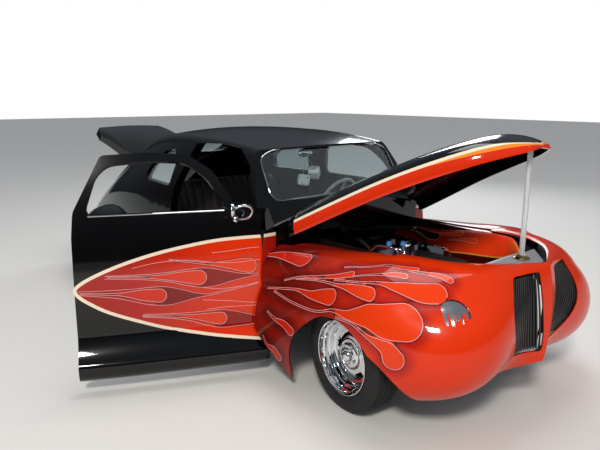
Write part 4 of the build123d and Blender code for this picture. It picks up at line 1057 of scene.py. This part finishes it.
# The panel's skirt hangs below its lower edge: sideways and down from there
skirt_drop = np.array([[0, .055, -.130], [0, .040, -.090], [0, .022, -.045], [0, .006, -.010]])
bulge_way, bulge_share = np.array([0.02, -0.35, 0.94]), 0.30
t = np.linspace(0, 1, 22)[:, None]
stations = []
for low, high in bay_rows:
    low, high = np.array(low), np.array(high)
    width = np.linalg.norm(high - low)
    top = (low + high) / 2 + bulge_way * width * bulge_share
    curve = (1 - t)**2 * low + 2 * t * (1 - t) * top + t**2 * high
    stations.append(np.concatenate([low + skirt_drop, curve]))
bay_grid = through_stations(stations, [14, 14, 16, 16, 12, 10, 8])
across, edge_point = row_distances(bay_grid), len(skirt_drop)
bay = Panel(bay_grid, bay_grid[:, edge_point, 0], across - across[:, edge_point:edge_point + 1],
            seen=(20, 14, 2))
bay_licks = [
    [(-.255, .118, .030), (-.310, .122, .031), (-.380, .132, .024), (-.460, .140, .016), (-.598, .150, .010)],
    [(-.370, .225, .022), (-.430, .222, .024), (-.500, .218, .018), (-.598, .212, .012)],
]
bay_glow = [
    [(-.075, .150, .026), (-.120, .150, .024), (-.180, .148, .014), (-.250, .150, .005)],
    [(.060, .095, .020), (.010, .098, .018), (-.060, .098, .009), (-.150, .092, .003)],
]
# Darker towards the firewall and orange over the front end: painted shade under the open hood, and a painted
# highlight at the front
bay_paint = layered_paint("bay_panel_paint", "D4220E", ("A8180A", "FF4218"), [
    ("along", 0.28, 0.42, "FF8636"), ("glow", 0.012, 0.0, "C8220E"), ("glow", 0.001, -0.001, "FF4A1E"),
    ("lick", 0.001, -0.001, black), ("across", 0.001, -0.001, "5E0D09")],
    fade=(-0.45, 0.20), behind=black, rough=0.3, coat=0.75, Specular_IOR_Level=0.12)
points, faces, values = bay.skin()
for key, licks in (("lick", bay_licks), ("glow", bay_glow)):
    values[key] = lick_field(licks, values["along"], values["across"])
edge = np.stack([np.linspace(-0.598, 0.384, 90), np.full(90, 0.004)], 1)
lift = 0.001
gold = [ribbon(bay, lick_edge(lick)[2:-2], 0.005, lift) for lick in bay_licks]
gold.append(ribbon(bay, edge, 0.009, lift))
fine = [ribbon(bay, lick_edge(lick), line_width, lift) for lick in bay_glow]
both_sides("bay_panel", shelled(points, faces, values, 0.006), bay_paint, slot="body_orange")
both_sides("bay_gold_edge", merged(gold), gold_paint, slot="body_orange", sharp=None)
both_sides("bay_pinstripes", merged(fine), pinstripe_paint, slot="body_orange", sharp=None)

# %% [markdown]
# ## Small fittings of the bay
#
# Bent pipes and hoses are round tubes along smooth paths. Caps and collars are turned on a lathe,
# so a short profile about an upright line gives each its real edges.

# %% Small fittings of the bay
blue_cap = finish_of("blue_plastic_cap", "3F86C8", rough=0.35)
cap_profile = [(0.0, 0.016), (0.010, 0.0155), (0.014, 0.012), (0.0145, 0.0), (0.016, -0.002), (0.016, -0.007),
               (0.0, -0.007)]


def upright(profile, steps, place=(0, 0, 0)):
    """A profile of (radius, height) turned about a vertical line through place."""
    points, faces = revolved(profile, steps)
    return outward(points[:, [0, 2, 1]] + np.asarray(place), faces)


fittings = [
    [(-.010, -.325, .770), (-.013, -.333, .805), (-.030, -.338, .832), (-.062, -.345, .836),
     (-.070, -.349, .850)],
    [(-.062, -.345, .836), (-.100, -.352, .838), (-.150, -.362, .832), (-.190, -.368, .800)],
    [(.015, -.298, .770), (.012, -.304, .805), (-.004, -.298, .830), (-.017, -.289, .850)],
    [(.012, -.304, .805), (-.012, -.318, .828), (-.034, -.325, .832)],
]
pipes = [outward(*tube(smooth_path(route), 0.009)) for route in fittings]
add_mesh("heater_fittings", merged(pipes), chrome, "car", slot="chrome")
caps = [upright(cap_profile, 24, place) for place in ((-.070, -.349, .857), (-.017, -.289, .857))]
add_mesh("fitting_caps", merged(caps), blue_cap, "car", slot="plastic")
# Hoses and pipes, each with its radius
routes = [
    (.011, [(-.580, -.180, .760), (-.480, -.200, .800), (-.330, -.290, .812), (-.230, -.345, .806),
            (-.190, -.368, .800)]),
    (.012, [(-.590, .020, .800), (-.500, .060, .826), (-.400, .190, .815), (-.300, .250, .770),
            (-.220, .240, .720)]),
    (.024, [(.395, -.150, .735), (.350, -.165, .775), (.260, -.180, .790), (.160, -.170, .770),
            (.090, -.140, .720)]),
]
hoses = [outward(*tube(smooth_path(route, 12), radius, 14)) for radius, route in routes]
add_mesh("bay_pipes", merged(hoses), rubber, "car", slot="plastic")
collar_profile = [(0.0145, 0.020), (0.0145, 0.0), (0.040, 0.0), (0.043, 0.003), (0.040, 0.007),
                  (0.030, 0.010), (0.024, 0.017), (0.019, 0.021), (0.0145, 0.020)]
collar = upright(collar_profile, 48, (0.552, 0.0, 0.838))
add_mesh("prop_collar", collar, brass, "car", slot="brass")

# %% [markdown]
# ## Cabin
#
# The windshield's bright trim follows its outline on the raked glass. The seat is a bench of two
# cushions, blown up as cloth and then sewn in channels. Two soft dice hang from the mirror.

# %% Trim, mirrors and dice
outline = np.array([(-632, 1040), (632, 1040), (612, 1298), (500, 1342), (-500, 1342), (-612, 1298)]) / 1000
y, z = rounded(outline, 0.075, 9).T
# The glass leans back by its rake and bulges forward on a radius of 3 m
foot_x, foot_z, rake, bulge, behind = -0.690, 1.020, 0.62, 3.0, 0.004
x = foot_x - rake * (z - foot_z) - (bulge - np.sqrt(bulge**2 - y**2)) - behind
loop = np.stack([x, y, z], 1)
add_mesh("windshield_trim", outward(*tube(np.concatenate([loop, loop[:2]]), 0.0040, 10)), chrome, "car",
         slot="chrome")

head = upright([(0.0, 0.020), (0.020, 0.018), (0.036, 0.010), (0.0405, 0.001), (0.040, -0.004),
                (0.037, -0.006), (0.036, -0.003), (0.0, -0.003)], 48)


def mirror_head(place, wide, tall):
    """The turned head, stretched to an oval and set on its side with its dome forward."""
    points, faces = head
    return outward(points[:, [2, 1, 0]] * np.array([1.0, wide, tall]) + np.asarray(place), faces)


stem_path = [(-1.060, -.100, 1.345), (-1.056, -.104, 1.325), (-1.044, -.109, 1.308), (-1.040, -.110, 1.296)]
stem = outward(*tube(smooth_path(stem_path), 0.005, 10))
add_mesh("cabin_mirror_oval", merged([mirror_head((-1.046, -.110, 1.292), 1.62, 0.80), stem]), chrome, "car",
         replaces=("cabin_mirror",), slot="chrome")

dice_white = finish_of("white_plush", "FFFFFF", rough=0.95, Sheen_Weight=1.0, Sheen_Roughness=0.5)
dice_dot = finish_of("black_felt", "101010", rough=0.95)
# Where a face has its pips, by number; then each face's number, axis and side
two_pips, four_pips = [(-1, -1), (1, 1)], [(-1, -1), (-1, 1), (1, -1), (1, 1)]
pips = {1: [(0, 0)], 2: two_pips, 3: two_pips + [(0, 0)], 4: four_pips, 5: four_pips + [(0, 0)],
        6: four_pips + [(-1, 0), (1, 0)]}
die_faces = [(1, 2, 1), (6, 2, -1), (2, 0, 1), (5, 0, -1), (3, 1, 1), (4, 1, -1)]
pip_points, pip_faces = upright([(0.0, 0.0015), (0.0045, 0.001), (0.0062, -0.002), (0.0, -0.002)], 14)
pip_gap, pip_height = 0.24, 0.497


def soft_box(size, power, rows, columns):
    """A rounded box |2x/a|^power + |2y/b|^power + |2z/c|^power = 1 of size (a, b, c)."""
    v, u = np.meshgrid(np.linspace(0, math.pi, rows), np.linspace(0, 2 * math.pi, columns, endpoint=False))
    ball = np.stack([np.sin(v) * np.cos(u), np.sin(v) * np.sin(u), np.cos(v)], -1)
    ball = ball / (np.abs(ball)**power).sum(-1, keepdims=True)**(1 / power) * np.array(size) / 2
    return outward(ball.reshape(-1, 3), grid_triangles(*v.shape, wrap_rows=True))


def die(place, size, turns):
    """A soft cube with pips: its form, and the material number of each face."""
    parts = [soft_box(size, 5, 26, 48)]
    which = [np.zeros(len(parts[0][1]), int)]
    for number, axis, sign in die_faces:
        for s, t in pips[number]:
            spot = size * np.array([s * pip_gap, t * pip_gap, sign * pip_height])
            pip = np.roll(pip_points * (1, 1, sign) + spot, (1, 2, 0)[axis], axis=1)
            parts.append(outward(pip, pip_faces))
            which.append(np.ones(len(pip_faces), int))
    points, faces = merged(parts)
    for axis, degrees in turns:
        points = turned(points, np.zeros(3), axis, degrees)
    return (points + np.asarray(place), faces), np.concatenate(which)


for name, place, turns in (
        ("plush_die_one", (-1.036, -.030, 1.146), (((0, 0, 1), 28), ((0, 1, 0), 20), ((1, 0, 0), 30))),
        ("plush_die_two", (-1.052, -.118, 1.100), (((0, 0, 1), -32), ((1, 0, 0), -10)))):
    form, which = die(place, 0.080, turns)
    add_mesh(name, form, [dice_white, dice_dot], "car", slot="plastic", which=which, sharp=None)

for name, route in (
        ("dice_string_one", [(-1.044, -.106, 1.288), (-1.048, -.088, 1.262), (-1.044, -.058, 1.218),
                             (-1.037, -.036, 1.184)]),
        ("dice_string_two", [(-1.046, -.112, 1.288), (-1.054, -.113, 1.255), (-1.056, -.115, 1.190),
                             (-1.052, -.117, 1.138)])):
    line = bpy.data.curves.new(name, "CURVE")
    line.dimensions, line.bevel_depth, line.bevel_resolution = "3D", 0.0011, 2
    spline = line.splines.new("NURBS")
    spline.points.add(len(route) - 1)
    for point, spot in zip(spline.points, np.array(route) + shift):
        point.co = (*spot, 1.0)
    spline.order_u, spline.use_endpoint_u, spline.resolution_u = 3, True, 12
    line.materials.append(dice_white)
    string = bpy.data.objects.new(name, line)
    bpy.context.scene.collection.objects.link(string)
    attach(string, "car")

neck_path = smooth_path([
    (-.838, .752, .958), (-.826, .790, .968), (-.800, .828, .978), (-.777, .862, .994), (-.764, .888, 1.030),
    (-.778, .902, 1.058), (-.812, .906, 1.070), (-.846, .904, 1.064), (-.866, .902, 1.050)])
neck = outward(*tube(neck_path, np.linspace(0.0085, 0.0065, len(neck_path)), 14))
points, faces = upright([(0.0, 0.012), (0.012, 0.010), (0.021, 0.003), (0.023, -0.004), (0.0, -0.004)], 32)
foot = outward(points[:, [0, 2, 1]] + neck_path[0], faces)
points, faces = mirror_head((0, 0, 0), 0.92, 1.02)
house = turned(points, np.zeros(3), (0, 0, 1), 14) + np.array([-.880, .900, 1.044]), faces
both_sides("swan_neck_mirror", merged([neck, foot, house]), chrome, stands=("door_mirror_{}",), slot="chrome",
           **on_door)

# %% [markdown]
# ## Bright strips
#
# A thin rolled strip closes the gap below each door's window. Its path is read off the door's own
# surface, so it can't sink into the skin or stand away from it.

# %% Bright strips below the door windows
sill = np.stack([np.linspace(0.905, 1.672, 40), np.full(40, 1.0165)], 1)
strip_path, _ = door.place(sill[:, 0], sill[:, 1], 0.002)
both_sides("window_strip", outward(*tube(strip_path, 0.0042, 10)), chrome, slot="chrome", **on_door)

# %% [markdown]
# ## Seat cushions
#
# A bench is foam under stretched hide, sewn in channels. Modelling the crown by hand looks stiff, so
# each block is blown up a little as cloth under pressure, and its seams are then pressed in.

# %% Seat cushions
seat_leather = finish_of("charcoal_leather", "2B2624", rough=0.5)
seam_gap, seam_depth, seam_width = 0.076, 0.009, 0.010
voxel, pressure, frames = 0.012, 4.0, 20


def positions(mesh):
    """The places of a mesh's vertices as an (n, 3) array."""
    flat = np.empty(len(mesh.vertices) * 3)
    mesh.vertices.foreach_get("co", flat)
    return flat.reshape(-1, 3)


def cushion(name, centre, size, lean, cap, front):
    """A padded block: superellipsoid, voxel remesh, cloth under pressure, then sewn channels."""
    points, faces = soft_box(size, 8, 40, 80)
    mesh = bpy.data.meshes.new(name + "_shape")
    mesh.from_pydata(points.tolist(), [], faces.tolist())
    rough = bpy.data.objects.new(name + "_shape", mesh)
    bpy.context.scene.collection.objects.link(rough)
    remesh = rough.modifiers.new("remesh", "REMESH")
    remesh.mode, remesh.voxel_size = "VOXEL", voxel
    made = bpy.data.meshes.new_from_object(rough.evaluated_get(bpy.context.evaluated_depsgraph_get()))
    rough.modifiers.clear()
    rough.data = made
    rest = blown = positions(made)
    cloth = rough.modifiers.new("cloth", "CLOTH")
    cloth.settings.use_pressure, cloth.settings.uniform_pressure_force = True, pressure
    cloth.settings.effector_weights.gravity = 0.0
    for step in range(1, frames + 1):
        bpy.context.scene.frame_set(step)
    blown = positions(rough.evaluated_get(bpy.context.evaluated_depsgraph_get()).to_mesh())
    bpy.context.scene.frame_set(1)
    move = blown - rest
    length = np.linalg.norm(move, axis=1, keepdims=True)
    move *= np.minimum(1, cap / np.maximum(length, 1e-9))
    faces = []
    for polygon in made.polygons:
        k = list(polygon.vertices)
        faces += [k[:3], [k[0], k[2], k[3]]] if len(k) == 4 else [k]
    faces = np.array(faces)
    points = rest + move
    bpy.data.objects.remove(rough)
    normal = normals_of(points, faces)
    facing = np.clip(normal @ np.array(front), 0, 1)
    # Each seam is a soft groove that runs from the front to the back
    offset = np.abs(points[:, 1] % seam_gap - seam_gap / 2)
    points = points - normal * (facing * seam_depth * np.exp(-(offset / seam_width)**2))[:, None]
    points = turned(points, np.zeros(3), (0, 1, 0), lean) + np.array(centre)
    piece = add_mesh(name, (points, faces), seat_leather, "car", slot="leather", sharp=None,
                     replaces=("bench_seat",) if "seat" in name else ())


cushion("bench_seat_cushion", (-1.815, 0.0, 0.462), (0.46, 1.08, 0.125), -4.0, 0.014, (0.3, 0, 1))
cushion("bench_backrest", (-2.150, 0.0, 0.765), (0.115, 1.08, 0.50), -13.0, 0.014, (1, 0, 0.2))

# %% [markdown]
# ## Paint on the body, and grain
#
# The stripe has to meet the hood's and the door's, so on the body it is drawn from true heights.
# No finish is perfectly even: lacquer has a slight orange peel, castings have grit and hide has
# pores, and a fine noise gives each its own. Grains finer than a millimetre don't show from here
# and are drawn about that coarse.

# %% Paint on the body, and grain on every finish
ivory = finish_of("ivory_wheel_rim", "D9D7CE", rough=0.3, coat=0.4)
nodes["steering_wheel"].data.materials[0] = ivory
body_paint = finish_of("body_black_paint", black, **black_gloss)
tree = body_paint.node_tree
place = add_node(tree, "SeparateXYZ", [(0, add_node(tree, "TexCoord").outputs["Object"])])
from_middle = add_node(tree, "Math", [(0, place.outputs["Y"]), (1, float(-shift[1]))], operation="ADD")
off_centre = add_node(tree, "Math", [(0, from_middle.outputs[0])], operation="ABSOLUTE").outputs[0]
# The pale stripe and the flames' ground run on over the cowl's sides, and all else is black
colour = "F0DCC2"
for value, low, high, over in (
        (place.outputs["Z"], 0.8545, 0.8535, "A0180C"), (place.outputs["Z"], 0.8735, 0.8745, black),
        (place.outputs["Z"], 0.240, 0.238, black), (place.outputs["X"], 0.930, 0.929, black),
        (off_centre, 0.692, 0.690, black)):
    colour = covered(tree, colour, over, value, low, high)
tree.links.new(colour, tree.nodes["Principled BSDF"].inputs["Base Color"])
nodes["body_shell"].data.materials[0] = body_paint


def grained(material, size, depth, spread=0.0):
    """Bump from a noise whose grains are size metres wide, and a roughness that varies with it."""
    tree = material.node_tree
    shader = tree.nodes["Principled BSDF"]
    place = add_node(tree, "TexCoord").outputs["Object"]
    noise = add_node(tree, "TexNoise", [("Vector", place), ("Scale", 1 / size), ("Detail", 3.0)]).outputs[0]
    bump = add_node(tree, "Bump", [("Height", noise), ("Distance", depth)]).outputs[0]
    tree.links.new(bump, shader.inputs["Normal"])
    if shader.inputs["Coat Weight"].default_value > 0:
        tree.links.new(bump, shader.inputs["Coat Normal"])
    if spread:
        base = shader.inputs["Roughness"].default_value
        varied = add_node(tree, "MapRange", [("Value", noise), ("From Min", 0.3), ("From Max", 0.7),
                                             ("To Min", base - spread), ("To Max", base + spread)])
        tree.links.new(varied.outputs[0], shader.inputs["Roughness"])


orange_peel = 0.009, 0.00006
for material in (black_paint, orange_paint, fender_paint, hood_paint, door_paint, body_paint, bay_paint):
    grained(material, *orange_peel)
# Grain width and height in metres, and how far the roughness strays either way. The widest are
# handling and polishing marks.
for material, size, depth, spread in (
        (rubber, 0.0012, 0.0003, 0.08), (seat_leather, 0.0022, 0.0005, 0.08), (iron, 0.0014, 0.0004, 0.10),
        (alloy, 0.0011, 0.0003, 0.10), (satin_black, 0.0030, 0.0001, 0.08), (steel, 0.0040, 0.0001, 0.08),
        (chrome, 0.0600, 0.0, 0.025), (brass, 0.0200, 0.0, 0.06), (black_plastic, 0.0009, 0.0002, 0.05),
        (grey_paint, 0.0100, 0.0001, 0.05), (dice_white, 0.0030, 0.0015, 0.0), (dice_dot, 0.002, 0.0008, 0.0),
        (bay_black, 0.0050, 0.0002, 0.10), (lamp_silver, 0.0500, 0.0, 0.03),
        (grille_black, 0.004, 0.00005, 0.05)):
    grained(material, size, depth, spread)
print("finishes:", len(bpy.data.materials))
